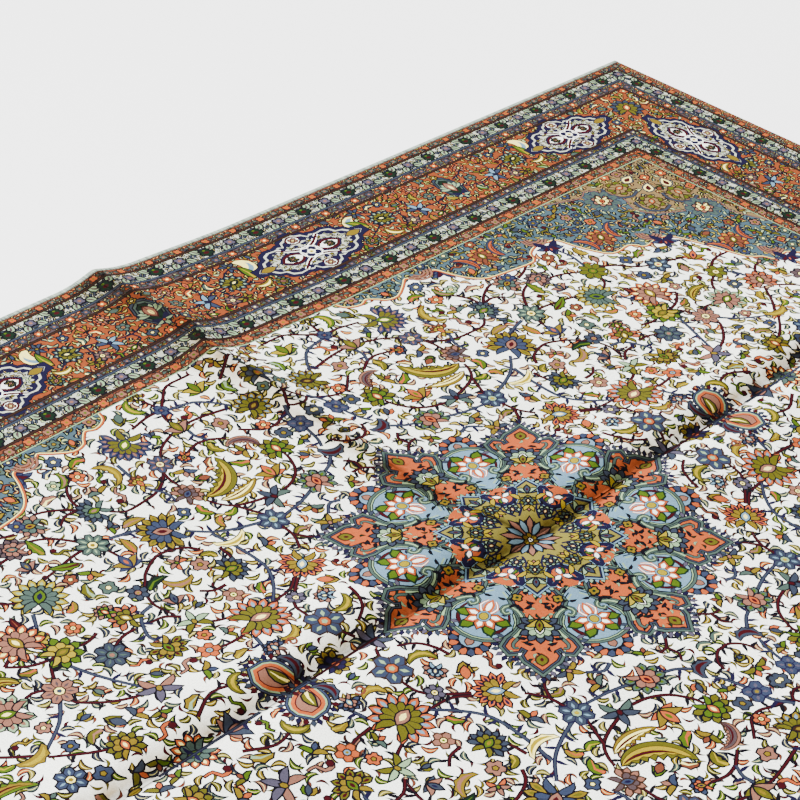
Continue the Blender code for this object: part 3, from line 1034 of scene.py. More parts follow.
# %% Corner arches
X1, Y1 = FIELD_X / MM, FIELD_Y / MM
ARCH = smooth([
    (255, Y1 + 3), (262, 600), (283, 592), (300, 598), (318, 583), (325, 575), (345, 572),
    (372, 588), (392, 602), (408, 590), (432, 592), (452, 588), (462, 562), (478, 532),
    (500, 514), (545, 506), (598, 500), (612, 520), (640, 532), (668, 528), (690, 520),
    (702, 482), (722, 440), (740, 428), (775, 430), (790, 420), (800, 408), (838, 412),
    (862, 402), (880, 372), (900, 318), (918, 270), (940, 252), (952, 232), (985, 236),
    (1010, 215), (X1 + 3, 205),
], 3)
ARCH_GROUND = np.vstack([ARCH, [(X1 + 30, 205), (X1 + 30, Y1 + 30), (255, Y1 + 30)]])
corner_chart = ringed(ARCH_GROUND, (("ink", 7.4), ("coral", 6.2), ("cream", 3.0), ("slate", 1.4),
                                    ("arch_ground", 0.0)))


def adorn(motif, x, y, turn=0.0):
    """Adds a motif to the corner."""
    corner_chart.extend(placed(motif, (x, y), turn))


def fan_arcs(count, radius, dye="rose"):
    """A shell of arcs, one within another."""
    shell = []
    for k in range(count):
        arc = smooth(turned_arc(radius * (1.0 - 0.26 * k), -80.0, 80.0, (0.0, 0.0)), 3)
        shell += [("brown", stroke(arc, 0.24 * radius)), (dye, stroke(arc, 0.15 * radius))]
    return shell


BACK_BAND = smooth([
    (760, Y1 + 3), (800, 602), (840, 590), (868, 600), (895, 572), (905, 535), (890, 500),
    (905, 470), (935, 452), (965, 440), (990, 462), (1018, 450), (1040, 420), (1030, 385),
    (1042, 352), (X1 + 3, 320),
], 3)
BACK_GROUND = np.vstack([BACK_BAND, [(X1 + 30, 320), (X1 + 30, Y1 + 30), (760, Y1 + 30)]])
corner_chart += ringed(BACK_GROUND, (("ink", 4.0), ("rose", 3.0), ("slate", 1.2), ("back_ground", 0.0)))

for x, y, angle in ((422, 600, -90), (656, 548, -120), (839, 432, -130), (978, 262, -140)):
    adorn(fan_arcs(3, 24), x, y, angle)
for x, y, angle in ((656, 506, -110), (839, 392, -120), (972, 216, -120)):
    adorn(lily(24, "blue", "navy", "gold", "navy"), x, y, angle)
    adorn(tulip(15, "maroon", "navy", "coral", "navy"), x, y, angle)
for x, y, angle in ((543, 563, 90), (757, 473, 60), (943, 317, 50)):
    adorn(fan(28, "coral", "rust", "olive", "cream", 9, 300, "brown", tip="yellow"), x, y, angle)
    adorn(feather(62, 20, "slate", "coral", 110, "navy"), x - 34, y - 24, 60)
    adorn(feather(62, 20, "slate", "coral", -110, "navy"), x + 34, y - 20, 120)
for x, y, angle in ((128, 48, 0), (48, 128, 90), (118, 118, 45)):
    adorn(fan(25, "olive", "tan", "coral", "celadon", 7, 330, "brown", tip="leaf"), X1 - x, Y1 - y,
          angle)
    adorn(fan_arcs(1, 34, "slate"), X1 - x, Y1 - y, 225)
for x, y, angle in ((74, 32, 200), (32, 74, 250), (70, 70, 225)):
    drop = inked("cream", spindle(30, 19, 0.6, 0.7), "slate", 2.0)
    drop += [("maroon", spindle(20, 11, 0.6, 0.7, n=3) + (6.0, 0.0))]
    adorn(drop, X1 - x, Y1 - y, angle)
for x, y in ((190, 58), (58, 190)):
    adorn(rosette(34, 9, "sage", "sand", "rose", "slate", "slate"), X1 - x, Y1 - y)
    adorn(fan(20, "rose", "cream", "coral", "maroon", 7, 300), X1 - x, Y1 - y, 225)
print("corner outlines:", len(corner_chart))

# %% [markdown]
# ## Filling the ground
#
# The weavers leave no bare patch wider than a finger: leaves, tendrils and buds fill every
# gap. Placing hundreds by hand teaches nothing new, so this step looks for room instead. It
# tries places in a seeded random order and sows a small motif wherever none is near.

# %% Fillers
def small_motif(kind, room, rng):
    """One small filler that fits in a circle."""
    green, warm, cool = ("olive", "leaf", "gold"), ("coral", "rose", "rust"), ("blue", "slate", "sage")
    pick = lambda names: names[rng.integers(len(names))]
    side = 1.0 if rng.random() < 0.5 else -1.0
    if kind == 0:
        lining = pick(("yellow", "rose", "celadon", "coral"))
        blade = acanthus(2.1 * room, 0.95 * room, pick(green), lining, 85 * side)
        return placed(blade, (-0.9 * room, 0.0))
    if kind == 1:
        return placed(hook(2.2 * room, 0.42 * room, pick(warm + green)), flip=side < 0)
    if kind == 2:
        return placed(bud(1.9 * room, pick(warm + cool), pick(green)), (-0.9 * room, 0.0))
    if kind == 3:
        flower = inked(pick(cool + warm), scallop(0.85 * room, int(rng.integers(4, 6))))
        return flower + inked(pick(("cream", "gold")), oval(0.26 * room, n=5), "ink", 1.0)
    if kind == 4:
        return forked(1.6 * room, pick(green), pick(green + cool), pick(warm + cool))
    if kind == 5:
        return sprig(1.7 * room, pick(green), pick(warm + green), pick(cool))
    blade = acanthus(2.1 * room, 0.9 * room, pick(cool + warm), "cream", 100 * side)
    return placed(blade, (-0.8 * room, 0.0))


def inside(points, outline):
    """Which points lie in an outline, by counting crossings."""
    x, y = points[:, 0], points[:, 1]
    hit = np.zeros(len(points), bool)
    for (ax, ay), (bx, by) in zip(outline, np.roll(outline, -1, axis=0)):
        if ay != by:
            hit ^= ((ay > y) != (by > y)) & (x < (bx - ax) * (y - ay) / (by - ay) + ax)
    return hit


def sow(chart, low, high, allowed, rooms=(15.0, 12.0), spacing=7.0, gap=1.8, seed=3,
        kinds=(0, 0, 0, 1, 1, 2, 3, 4, 4, 4, 5, 6)):
    """Sows fillers wherever a circle of the given size is free, the largest first."""
    rng = np.random.default_rng(seed)
    taken = np.vstack([p for _, p in chart])
    sown = []
    for room in rooms:
        gx, gy = np.meshgrid(np.arange(low[0], high[0], spacing), np.arange(low[1], high[1], spacing))
        spots = np.stack([gx.ravel(), gy.ravel()], 1) + rng.uniform(-3.0, 3.0, (gx.size, 2))
        spots = spots[allowed(spots)]
        for spot in spots[rng.permutation(len(spots))]:
            near = taken[np.abs(taken[:, 0] - spot[0]) < room + gap]
            if len(near) and np.min(np.hypot(*(near - spot).T)) < room + gap:
                continue
            motif = small_motif(kinds[rng.integers(len(kinds))], room, rng)
            motif = placed(motif, spot, rng.uniform(0.0, 360.0))
            sown += motif
            taken = np.vstack([taken] + [p for _, p in motif])
    return sown


def on_the_ivory(spots):
    """Places clear of the medallion and the corners."""
    clear_of_wheel = np.hypot(*(spots / WHEEL).T) > R
    return clear_of_wheel & ~inside(spots, grown(ARCH_GROUND, 12.0))


def on_the_blue(spots):
    """Places on the corner's blue band and its tan ground."""
    return inside(spots, grown(ARCH_GROUND, -6.0))


DEEP = (0.0, 0.0), (X1, Y1)
obstacles = field_chart + wheel + corner_chart
fillers = sow(obstacles, *DEEP, on_the_ivory, spacing=6.0)
corner_fillers = sow(corner_chart, *DEEP, on_the_blue, rooms=(12.0, 9.5), gap=1.2, seed=5,
                     kinds=(2, 3, 3, 4, 5, 1))
field_chart = fillers + field_chart + corner_chart + corner_fillers + wheel
print("field outlines with fillers:", len(field_chart))

# %% [markdown]
# ## The borders
#
# Seven bands frame the field. The wide dark coral one carries ivory cartouches with stepped
# navy outlines, and slate palmettes between them. The guards on either side repeat small flowers.
# One run of each is drawn for the long side and turned a quarter for the short end.

# %% Border bands
border_chart = []
BAND_DYES = ("rust_ground", "ivory_ground", "mauve_ground", "main_ground", "mauve_ground",
             "ivory_ground", "rust_ground")
LINE_DYES = ("brown", "slate", "brown", "brown", "slate", "brown", "celadon")
MIDDLE = {}


def band_corner(inner, outer):
    """The L-shaped strip between two distances from the rug's edge, in a quarter."""
    x0, x1 = (HALF_LENGTH - inner) / MM, (HALF_LENGTH - outer) / MM
    y0, y1 = (HALF_WIDTH - inner) / MM, (HALF_WIDTH - outer) / MM
    return np.array([(-9, y1), (-9, y0), (x0, y0), (x0, -9), (x1, -9), (x1, y1)], float)


distance = 0.0
for (name, end), dye in zip(BAND_ENDS.items(), BAND_DYES):
    border_chart.append((dye, band_corner(end + 0.004, distance)))
    MIDDLE[name] = (distance + end) / 2.0 / MM
    distance = end
MIDDLE["outer_rose"] = (0.011 + BAND_ENDS["outer_rose"]) / 2.0 / MM


def on_long_side(motif, along, distance):
    """Places a motif on the long side, its +Y toward the rug's edge."""
    border_chart.extend(placed(motif, (along, HALF_WIDTH / MM - distance)))


def on_short_end(motif, along, distance):
    """Places a motif on the short end, its +Y toward the rug's edge."""
    border_chart.extend(placed(motif, (HALF_LENGTH / MM - distance, along), -90.0))


def run(motifs, pitch, band):
    """Repeats motifs in turn along both sides of a band, out from the middle to the corner."""
    distance = MIDDLE[band]
    for half, put_one in ((HALF_LENGTH, on_long_side), (HALF_WIDTH, on_short_end)):
        last = half / MM - distance
        count = int(round(last / pitch))
        for k in range(count + 1):
            put_one(motifs[k % len(motifs)], last * k / count, distance)


# %% Guard borders
def meander_unit(bloom, side, half=26.0):
    """Half a wave of the ivory guard: a flower in the bend, with a striped leaf on each side."""
    wave = np.array([(-half, -5), (-half * 0.5, 9), (half * 0.5, 9), (half, -5)])
    wave = smooth(wave * (1.0, side), 3)
    unit = [("ink", stroke(wave, 5.4)), ("slate", stroke(wave, 2.4))]
    for s in (1.0, -1.0):
        blade = inked("celadon", spindle(23, 12, 0.4, 0.8, 70 * s * side, n=3), "ink", 2.0)
        blade.append(("mauve", spindle(17, 4.6, 0.4, 0.8, 50 * s * side, n=2)))
        unit += placed(blade, (9.0 * s, 2.0 * side), side * (90.0 - 60.0 * s))
    if bloom == "dark":
        unit += inked("forest", scallop(11.5, 5) + (0.0, -2.0 * side), "ink", 2.0)
        unit += [("maroon", oval(5.5, 4.0, (0.0, -2.0 * side), 6)),
                 ("leaf", oval(3.0, 2.5, (0.0, 5.0 * side), 5))]
    else:
        unit += inked("lilac", scallop(9, 4) + (0.0, -2.0 * side), "ink", 2.0)
        unit += [("rose", oval(3.4, 3.4, (0.0, -2.0 * side), 5))]
    return unit


def guard_flower(dye, heart, r):
    """A five-petalled guard flower with a dark leaf on either side."""
    unit = inked(dye, scallop(r, 4), "brown", 1.4) + [(heart, oval(0.36 * r, n=5))]
    blade = inked("sage", spindle(1.3 * r, 0.6 * r, 0.4, 0.9, 50.0, n=2), "brown", 1.2)
    unit += placed(blade, (1.25 * r, 0.3 * r), -40.0) + placed(blade, (-1.25 * r, -0.3 * r), 140.0)
    return unit


def triangle(dye, size):
    """A small wedge between the guard's flowers."""
    edge = np.array([(-size, -size * 0.8), (size, -size * 0.8), (0.0, size * 0.8)])
    return inked(dye, edge, "brown", 1.0)


GUARDS = (
    ("outer_rose", 14.5, ("coral", "gold", 6.5), ("slate", 4.0), ("sage", "coral", 6.0), ("coral", 4.0)),
    ("outer_mauve", 17.0, ("slate", "rose", 7.5), ("coral", 5.0), ("coral", "cream", 7.0), ("blue", 5.0)),
    ("inner_mauve", 15.0, ("slate", "rose", 6.0), ("coral", 4.0), ("lilac", "cream", 6.0), ("olive", 4.0)),
    ("inner_rose", 19.0, ("coral", "gold", 8.5), ("forest", 4.5), ("rose", "leaf", 8.0), ("coral", 5.5)),
)
for band, pitch, first, wedge, second, other in GUARDS:
    units = [guard_flower(*first), triangle(*wedge), guard_flower(*second), triangle(*other)]
    run(units, pitch, band)
WAVES = [meander_unit("dark", 1), meander_unit("pale", -1)]
WAVE_PITCH = 52.5
run(WAVES, WAVE_PITCH, "outer_ivory")
run(WAVES, WAVE_PITCH, "inner_ivory")
print("guard outlines:", len(border_chart))

# %% Main border
def quarter_closed(rows):
    """A shape with two mirror lines, from one quarter of its outline."""
    q = np.array(rows, float)
    half = np.vstack([q, (q * (-1.0, 1.0))[::-1]])
    return np.vstack([half, (half * (1.0, -1.0))[::-1]])


def cartouche():
    """An ivory panel with a stepped navy outline, two almonds and a navy flower."""
    edge = quarter_closed([(113, 0), (104, 7), (94, 10), (88, 20), (76, 24), (72, 36), (60, 42),
                           (44, 40), (34, 44), (28, 40), (22, 52), (12, 56), (5, 64)])
    panel = ringed(edge, (("ink", 8.6), ("navy", 7.4), ("pearl", 0.0)))
    panel += [("navy", edge * (0.95, 0.92)), ("ivory_ground", edge * (0.86, 0.80))]
    tip = inked("gold", spindle(30, 15, 0.5, 0.8), "navy", 1.6)
    almond = inked("maroon", spindle(48, 34, 0.5, 0.7, n=5), "navy", 2.0)
    almond += [("ivory", spindle(38, 22, 0.5, 0.7) + (5.0, 0.0))]
    almond += placed(fan(9, "sage", "olive", "rose", "maroon", 6, 260), (26.0, 0.0))
    trefoil = inked("ivory", oval(11, 10, n=10), "maroon", 2.4)
    trefoil += placed(rosette(7, 4, "rose", "olive", "cream", ink="brown"))
    for flip in (1.0, -1.0):
        angle = 0.0 if flip > 0 else 180.0
        panel += placed(tip, (78.0 * flip, 0.0), angle)
        panel += placed(trefoil, (0.0, 45.0 * flip))
        for side in (1.0, -1.0):
            band = smooth([(8 * side, 14 * flip), (24 * side, 22 * flip), (44 * side, 37 * flip)], 3)
            panel += [("navy", stroke(band, 15.0, 12.0)), ("ivory", stroke(band, 10.0, 8.0)),
                      ("maroon", stroke(band, 5.5, 4.0))]
            for x, y, r in ((80, 12, 4.6), (64, 27, 5.6), (50, 33, 4.2), (16, 40, 6.0), (31, 33, 4.0),
                            (9, 27, 4.0)):
                panel += [("navy", oval(r * 1.3, r, (x * side, y * flip), 7))]
            for x, y in ((70, 20), (40, 27), (20, 27)):
                panel += inked("olive", oval(2.8, 2.2, (x * side, y * flip), 6), "brown", 0.9)
        panel += placed(almond, (14.0 * flip, 0.0), angle)
    flower = rosette(17, 4, "navy", "gold", "cream", ink="ivory")
    return panel + placed(flower, turn=45.0) + placed(flower)


def oval_palmette():
    """A tall slate palmette that points at the rug's edge."""
    flower = []
    for r, w, dye in ((20.5, 40, "slate"), (16.5, 33, "sage"), (12.5, 26, "forest")):
        edge = oval(r, w, n=20) * (1.0 + 0.07 * (np.arange(20) % 2))[:, None]
        flower += inked(dye, edge + (0.0, 2.0), "ink", 1.5)
    petal = inked("celadon", spindle(22, 8, 0.6, 0.8, n=3), "navy", 1.2)
    flower += placed(around(petal, 7, 4.0, 20.0, 140.0), (0.0, -6.0))
    flower += placed(inked("rose", spindle(34, 15, 0.55, 0.8), "maroon", 1.4), (0.0, -14.0), 90.0)
    flower += placed([("cream", spindle(18, 6, 0.5, 0.8, n=3))], (0.0, -8.0), 90.0)
    flower += placed(lily(14, "celadon", "navy", "coral", "navy"), (0.0, -32.0), -90.0)
    flower += placed(rosette(7, 5, "gold", "maroon", "cream"), (0.0, 45.0))
    return flower


def crescent_cup():
    """A pale round cup with light-blue and coral segments."""
    cup = inked("cream", spindle(62, 22, 0.5, 0.7, 170.0, 0.0, 7), "brown", 1.3)
    cup += [("sky", spindle(40, 9, 0.4, 0.8, 110.0, n=4) + (3.0, 3.0))]
    return [(dye, p + (-20.0, -14.0)) for dye, p in cup]


def between(flip):
    """The flowers between a palmette and the cartouche beside it, placed from the palmette."""
    f = -1.0 if flip else 1.0
    turn = lambda angle: 180.0 - angle if flip else angle
    stretch = []

    def add(motif, x, y, angle=0.0):
        stretch.extend(placed(motif, (x * f, y), turn(angle)))

    for path in ([(24, -10), (60, -20), (100, -12), (140, 4), (175, 2)],
                 [(175, 2), (205, -18), (235, -34)], [(100, -12), (112, 14), (108, 36)],
                 [(175, 2), (178, 28), (205, 44)], [(60, -20), (58, -38), (80, -48)],
                 [(24, 20), (50, 28), (70, 44)], [(140, 4), (146, -24), (160, -44)]):
        stretch.extend(vine(np.array(path, float) * (f, 1.0), 3.6, "navy"))
    add(fan(24, "slate", "olive", "forest", "cream", 11, 320, tip="celadon"), 175, 3, 20)
    add(lily(21, "sky", "blue", "navy"), 100, -14, 150)
    add(crescent_cup(), 232, 26, 0)
    add(leaf(44, 15, "leaf", "yellow", 30), 214, -6, 75)
    add(crescent(44, 14, "gold", "cream", 140), 196, -24, -60)
    add(rosette(13, 6, "mauve", "gold", "cream", "rose"), 138, -36)
    add(fan(15, "coral", "rose", "gold", "cream", 7, 240), 66, 42, 60)
    add(tulip(13, "gold", "coral", "navy"), 110, 40, 80)
    add(rosette(11, 5, "sage", "gold", "rose"), 56, 4)
    add(lily(14, "slate", "blue", "gold"), 205, 46, 20)
    add(fan(14, "sage", "olive", "rose", "maroon", 7, 240), 240, -40, -40)
    add(tulip(12, "rose", "leaf", "cream"), 82, -50, -20)
    add(lily(13, "olive", "gold", "maroon"), 160, -46, -70)
    add(rosette(9, 5, "blue", "gold", "cream"), 150, 42)
    return stretch


LONG_STEP, SHORT_STEP = 340.0, 298.0
panel, palmette, right, left = cartouche(), oval_palmette(), between(False), between(True)
centre = MIDDLE["main"]
main_start = len(border_chart)
on_long_side(right, 0.0, centre)
for motif in (right, left):
    on_long_side(motif, 2.0 * LONG_STEP, centre)
for motif in (right, left):
    on_short_end(motif, SHORT_STEP, centre)
for x in (0.0, 2.0 * LONG_STEP):
    on_long_side(palmette, x, centre)
on_short_end(palmette, SHORT_STEP, centre)
for x in (LONG_STEP, 3.0 * LONG_STEP):
    on_long_side(panel, x, centre)
for y in (0.0, 2.0 * SHORT_STEP):
    on_short_end(panel, y, centre)
corner = (HALF_LENGTH / MM - centre, HALF_WIDTH / MM - centre)
border_chart += placed(fan(34, "slate", "olive", "coral", "cream", 11, 300), corner, 45.0)
MAIN_ROOM = band_corner(BAND_ENDS["main"] - 0.003, BAND_ENDS["outer_mauve"] + 0.003)


def on_the_coral(spots):
    """Places on the main border's ground."""
    return inside(spots, MAIN_ROOM)


rims = [("rust", band_corner(BAND_ENDS["main"], BAND_ENDS["outer_mauve"]))]
border_chart += sow(border_chart[main_start:] + rims, (0.0, 0.0), (HALF_LENGTH / MM, HALF_WIDTH / MM),
                    on_the_coral, (11.0,), 6.0, 0.6, 7, (0, 0, 1, 2, 3, 4, 5, 6))
for end, line in zip(BAND_ENDS.values(), LINE_DYES):
    border_chart.append(("ink", band_corner(end + 0.0034, end - 0.0034)))
    border_chart.append((line, band_corner(end + 0.0020, end - 0.0020)))
print("border outlines:", len(border_chart))

# %% [markdown]
# ## From chart to cloth
#
# A weaver turns the chart into knots. Here the chart becomes a mesh whose edges follow the
# outlines: a constrained Delaunay triangulation joins all of them into one flat sheet without
# overlaps, and each triangle takes the dye of the topmost outline it lies in. A painted
# picture could do it too, but edges in the mesh stay sharp at any distance, and need no
# image. Extra points every centimetre, and closer along the creases, let the sheet fold.
#
# The design was worked slightly out of square, as hand-knotted rugs are: its rows lean
# toward the -X end across the width, most at the middle.

# %% The sheet from its chart
def leaned(x, y):
    """A design place as a place on the rug."""
    return x - LEAN * y * (1.0 - ease(np.abs(x) / LEAN_REACH)), y


def seam_places(low, high, step=0.009):
    """Even places from low to high."""
    return np.linspace(low, high, max(2, int(round((high - low) / step)) + 1))


def support_points(low, high):
    """Extra points in a quarter's region: its rim, an even grid, and rows along the creases."""
    xs, ys = seam_places(low[0], high[0]), seam_places(low[1], high[1])
    rim = [np.stack([xs, np.full(len(xs), y)], 1) for y in (low[1], high[1])]
    rim += [np.stack([np.full(len(ys), x), ys], 1) for x in (low[0], high[0])]
    gx, gy = np.meshgrid(xs[2:-2:2], ys[2:-2:2])
    gx = gx + 0.004 * (np.arange(gx.shape[0]) % 2)[:, None]
    rows = [np.stack([gx.ravel(), gy.ravel()], 1)]
    for side in (1.0, -1.0):
        for away in (-0.005, 0.0, 0.005):
            y = np.arange(low[1], high[1], 0.008)
            x = row_at(CROSS_FOLD, y)[0] + away + LEAN * y
            rows.append(np.stack([x * side, y], 1))
            x = np.arange(low[0], high[0], 0.008)
            y = np.abs(row_at(LONG_CREASE, x * side)[0] + away)
            rows.append(np.stack([x, y], 1))
    rows = np.vstack(rows)
    within = np.all((rows > np.array(low) + 0.002) & (rows < np.array(high) - 0.002), axis=1)
    return np.vstack(rim + [rows[within]])


CLOSE_STEP, WIDE_STEP, CREASE_REACH = 6.5, 32.0, 48.0


def divided(points):
    """An outline with extra corners on its long edges, closest near the creases."""
    parts = []
    for a, b in zip(points, np.roll(points, -1, axis=0)):
        length, place = np.hypot(*(b - a)), 0.0
        while place < length:
            spot = a + (b - a) * (place / length)
            parts.append(spot)
            left = length - place
            step = CLOSE_STEP if np.abs(spot).min() < CREASE_REACH else WIDE_STEP
            if left < 1.5 * step:
                break
            place += step
    return np.array(parts)


def stacked_map(chart, ground, low, high):
    """Triangles that follow every outline of the chart, and the topmost dye of each."""
    room = np.array([low, (high[0], low[1]), high, (low[0], high[1])])
    outlines, dyes = [room], [DYE_NAMES.index(ground)]
    for dye, points in chart:
        if (points.max(0) > low).all() and (points.min(0) < high).all():
            outlines.append(divided(counterclockwise(points)))
            dyes.append(DYE_NAMES.index(dye))
    faces, start = [], 0
    for outline in outlines:
        faces.append(list(range(start, start + len(outline))))
        start += len(outline)
    verts = [Vector(p) for p in np.vstack(outlines).tolist()]
    verts, _, tris, _, _, owners = delaunay_2d_cdt(verts, [], faces, 0, 1e-4, True)
    keep = [k for k, owner in enumerate(owners) if 0 in owner]
    tris = np.array([tris[k] for k in keep])
    dye = np.array([dyes[max(owners[k])] for k in keep])
    return np.array(verts), tris, dye


def dye_edges(tris, dye):
    """The edges where two dyes meet. Those within one dye are not needed again."""
    ends = np.sort(np.vstack([tris[:, [0, 1]], tris[:, [1, 2]], tris[:, [2, 0]]]), axis=1)
    owner = np.tile(np.arange(len(tris)), 3)
    order = np.lexsort((ends[:, 1], ends[:, 0]))
    ends, owner = ends[order], owner[order]
    pair = np.nonzero((ends[1:] == ends[:-1]).all(1))[0]
    differ = dye[owner[pair]] != dye[owner[pair + 1]]
    return ends[pair[differ]]


def knot_map(chart, ground, low, high):
    """The lightest triangles that show the chart in one region, and the dye of each."""
    low, high = np.array(low) / MM, np.array(high) / MM
    points, tris, dye = stacked_map(chart, ground, low, high)
    edges = dye_edges(tris, dye)
    used, edges = np.unique(edges, return_inverse=True)
    extra = support_points(low * MM, high * MM) / MM
    verts = [Vector(p) for p in np.vstack([points[used], extra]).tolist()]
    edges = edges.reshape(-1, 2).tolist()
    verts, _, light, _, _, _ = delaunay_2d_cdt(verts, edges, [], 0, 1e-4, False)
    verts, light = np.array(verts), np.array(light)
    flat = np.column_stack([points, np.zeros(len(points))])
    finder = BVHTree.FromPolygons(flat.tolist(), tris.tolist())
    middles = verts[light].mean(1)
    found = [finder.find_nearest((x, y, 0.0))[2] for x, y in middles.tolist()]
    return compact(verts * MM, light), dye[found]


def compact(points, tris):
    """Drops the points that no triangle uses."""
    used, tris = np.unique(tris, return_inverse=True)
    return points[used], tris.reshape(-1, 3)


def quarter_cloth(quarter_map, side_x, side_y):
    """One region's map carried to one quarter: points on the rug, triangles and their dyes."""
    (points, tris), dye = quarter_map
    if side_x * side_y < 0:
        tris = tris[:, ::-1]
    return points * (side_x, side_y), tris, dye


def joined(parts):
    """Several cloths as one."""
    points, tris, dyes, start = [], [], [], 0
    for p, t, d in parts:
        points.append(p)
        tris.append(t + start)
        dyes.append(d)
        start += len(p)
    return np.vstack(points), np.vstack(tris), np.concatenate(dyes)


def mesh_object(name, points, faces, material):
    """A mesh object from an array of points and a list of faces."""
    mesh = bpy.data.meshes.new(name)
    mesh.from_pydata(points.tolist(), [], faces)
    mesh.materials.append(material)
    thing = bpy.data.objects.new(name, mesh)
    bpy.context.scene.collection.objects.link(thing)
    return thing


def store(mesh, name, kind, domain, values, field):
    """Stores one array of values on a mesh under a name."""
    attribute = mesh.attributes.new(name, kind, domain)
    attribute.data.foreach_set(field, np.ascontiguousarray(values, dtype=np.float32).ravel())


def store_dyes(mesh, dye):
    """Stores each face's dye as its colour."""
    colours = np.ones((len(dye), 4))
    colours[:, :3] = DYE_LINEAR[dye]
    store(mesh, "dye", "FLOAT_COLOR", "FACE", colours, "color")


def unwrap(mesh, x, y):
    """A flat unwrap on a map of its own, for baking. A long piece is cut in strips."""
    x, y = x - x.min(), y - y.min()
    if x.max() < y.max():
        x, y = y, x
    strips = max(1, int(round(math.sqrt(x.max() / y.max()))))
    long = x.max() / strips
    corner = np.zeros(len(mesh.loops), dtype=np.int32)
    mesh.loops.foreach_get("vertex_index", corner)
    tris = corner.reshape(-1, 3)
    strip = np.clip((x[tris].mean(1) / long).astype(int), 0, strips - 1).repeat(3)
    reach = max(long + 0.02, (y.max() + 0.02) * strips)
    u = (x[corner] - strip * long + 0.01) / reach
    v = (y[corner] + strip * (y.max() + 0.02) + 0.01) / reach
    layer = mesh.uv_layers.new(name="OFBake")
    layer.data.foreach_set("uv", np.stack([u, v], 1).astype(np.float32).ravel())


def crease_nearness(x, y):
    """Where painted shade darkens the two creases: 1 in their bottoms, fading to 0 about a centimetre away.
    """
    across = np.abs(y - row_at(LONG_CREASE, x)[0] + 0.002)
    along = np.abs(x - row_at(CROSS_FOLD, np.abs(y))[0] - 0.004) + np.where(y < 0.0, 0.010, 0.002)
    return np.exp(-((np.minimum(across, along) / 0.008) ** 2))


def flank_shade_mask(x, y):
    """1 on the flanks that lay inside the folds, where a warm painted shade darkens the silk."""
    wander, far_hump, _ = row_at(LONG_CREASE, x)
    above = (y - wander) / 0.034
    long_flank = np.where(above > 0.0, np.clip(above * 4.0, 0.0, 1.0) * np.exp(-above**2), 0.0)
    wander, top = row_at(CROSS_FOLD, y)[:2]
    before = (wander - x) / (0.030 + 1.3 * top)
    cross_flank = np.where((before > 0.0) & (y > 0.0), np.exp(-(before**2)) * ease(y / 0.25), 0.0)
    return np.maximum(long_flank * np.clip(far_hump / 0.010, 0.0, 1.0), 0.9 * cross_flank)


def rim_walls(flat):
    """The points along the rug's outer rim, each run ordered so that its wall faces out."""
    for axis, edge in ((0, HALF_LENGTH), (1, BODY_HALF_WIDTH)):
        for sign in (1, -1):
            rim = np.nonzero(np.abs(flat[:, axis] - edge * sign) < 1e-6)[0]
            if len(rim) > 1:
                rim = rim[np.argsort(flat[rim, 1 - axis])]
                yield rim if (axis == 0) == (sign > 0) else rim[::-1]


def with_rim(cloth):
    """A cloth with its thickness added along the rug's rim, and which points are its feet."""
    flat, tris, dye = cloth
    foot = np.zeros(len(flat), bool)
    edge_dye = DYE_NAMES.index("sand")
    for rim in list(rim_walls(flat)):
        n, start = len(rim), len(flat)
        flat = np.vstack([flat, flat[rim], flat[rim]])
        foot = np.concatenate([foot, np.zeros(n, bool), np.ones(n, bool)])
        a = start + np.arange(n - 1)
        wall = np.vstack([np.stack([a, a + n, a + n + 1], 1), np.stack([a, a + n + 1, a + 1], 1)])
        tris = np.vstack([tris, wall])
        dye = np.concatenate([dye, np.full(len(wall), edge_dye)])
    return (flat, tris, dye), foot


def pile_piece(name, cloth, material):
    """One piece of the pile laid on the rug's folds, with its dyes stored on its faces."""
    (flat, tris, dye), foot = with_rim(cloth)
    x, y = leaned(flat[:, 0], flat[:, 1])
    height = np.where(foot, lift(x, y), pile_top(x, y))
    thing = mesh_object(name, np.stack([x, y, height], 1), tris.tolist(), material)
    mesh = thing.data
    store_dyes(mesh, dye)
    store(mesh, "ground", "FLOAT", "FACE", DYE_GROUND[dye], "value")
    # The masks of the painted shade: in the crease bottoms, and on the fold flanks.
    store(mesh, "crease", "FLOAT", "POINT", crease_nearness(x, y), "value")
    store(mesh, "flank", "FLOAT", "POINT", flank_shade_mask(x, y), "value")
    unwrap(mesh, flat[:, 0], flat[:, 1])
    mesh.shade_smooth()
    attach(thing, "root")
    print(name, "has", len(tris), "triangles")
    return thing

# %% [markdown]
# ## The yarns' finishes
#
# Silk pile is a brush of cut filaments: it looks velvety and shows tiny ridges where the
# rows of knots lie. The dyes vary a little from one batch of yarn to the next, which gives
# faint bands across the rug. Noise textures do all of this in proportion to the rug's real
# size. Along the creases a painted shade darkens the dyes: dark brown in the crease bottoms,
# warm yellowish brown on the flanks inside the folds. The smallest leaves of the design are
# sown here too: a cell pattern gives each its place, its turn and its dye.

# %% Materials
def finish(name, colour, roughness):
    """A new node material with its shader's steady values."""
    material = bpy.data.materials.new(name)
    material.use_nodes = True
    shader = material.node_tree.nodes["Principled BSDF"]
    shader.inputs["Base Color"].default_value = paint(colour)
    shader.inputs["Roughness"].default_value = roughness
    shader.inputs["Specular IOR Level"].default_value = 0.015
    return material, material.node_tree, shader


def paint(colour):
    """A dye, by its name or its screen colour, as a shader's opaque colour."""
    return (*linear(DYES.get(colour, colour)), 1.0)


def feed(tree, socket, value):
    """Gives a socket a plain value, or links an output to it."""
    if isinstance(value, bpy.types.NodeSocket):
        tree.links.new(value, socket)
    else:
        socket.default_value = value


def node(tree, kind, **values):
    """A new node, with its inputs or settings given by name."""
    made = tree.nodes.new(kind)
    for key, value in values.items():
        socket = made.inputs.get(key.replace("_", " "))
        if socket is None:
            setattr(made, key, value)
        else:
            feed(tree, socket, value)
    return made


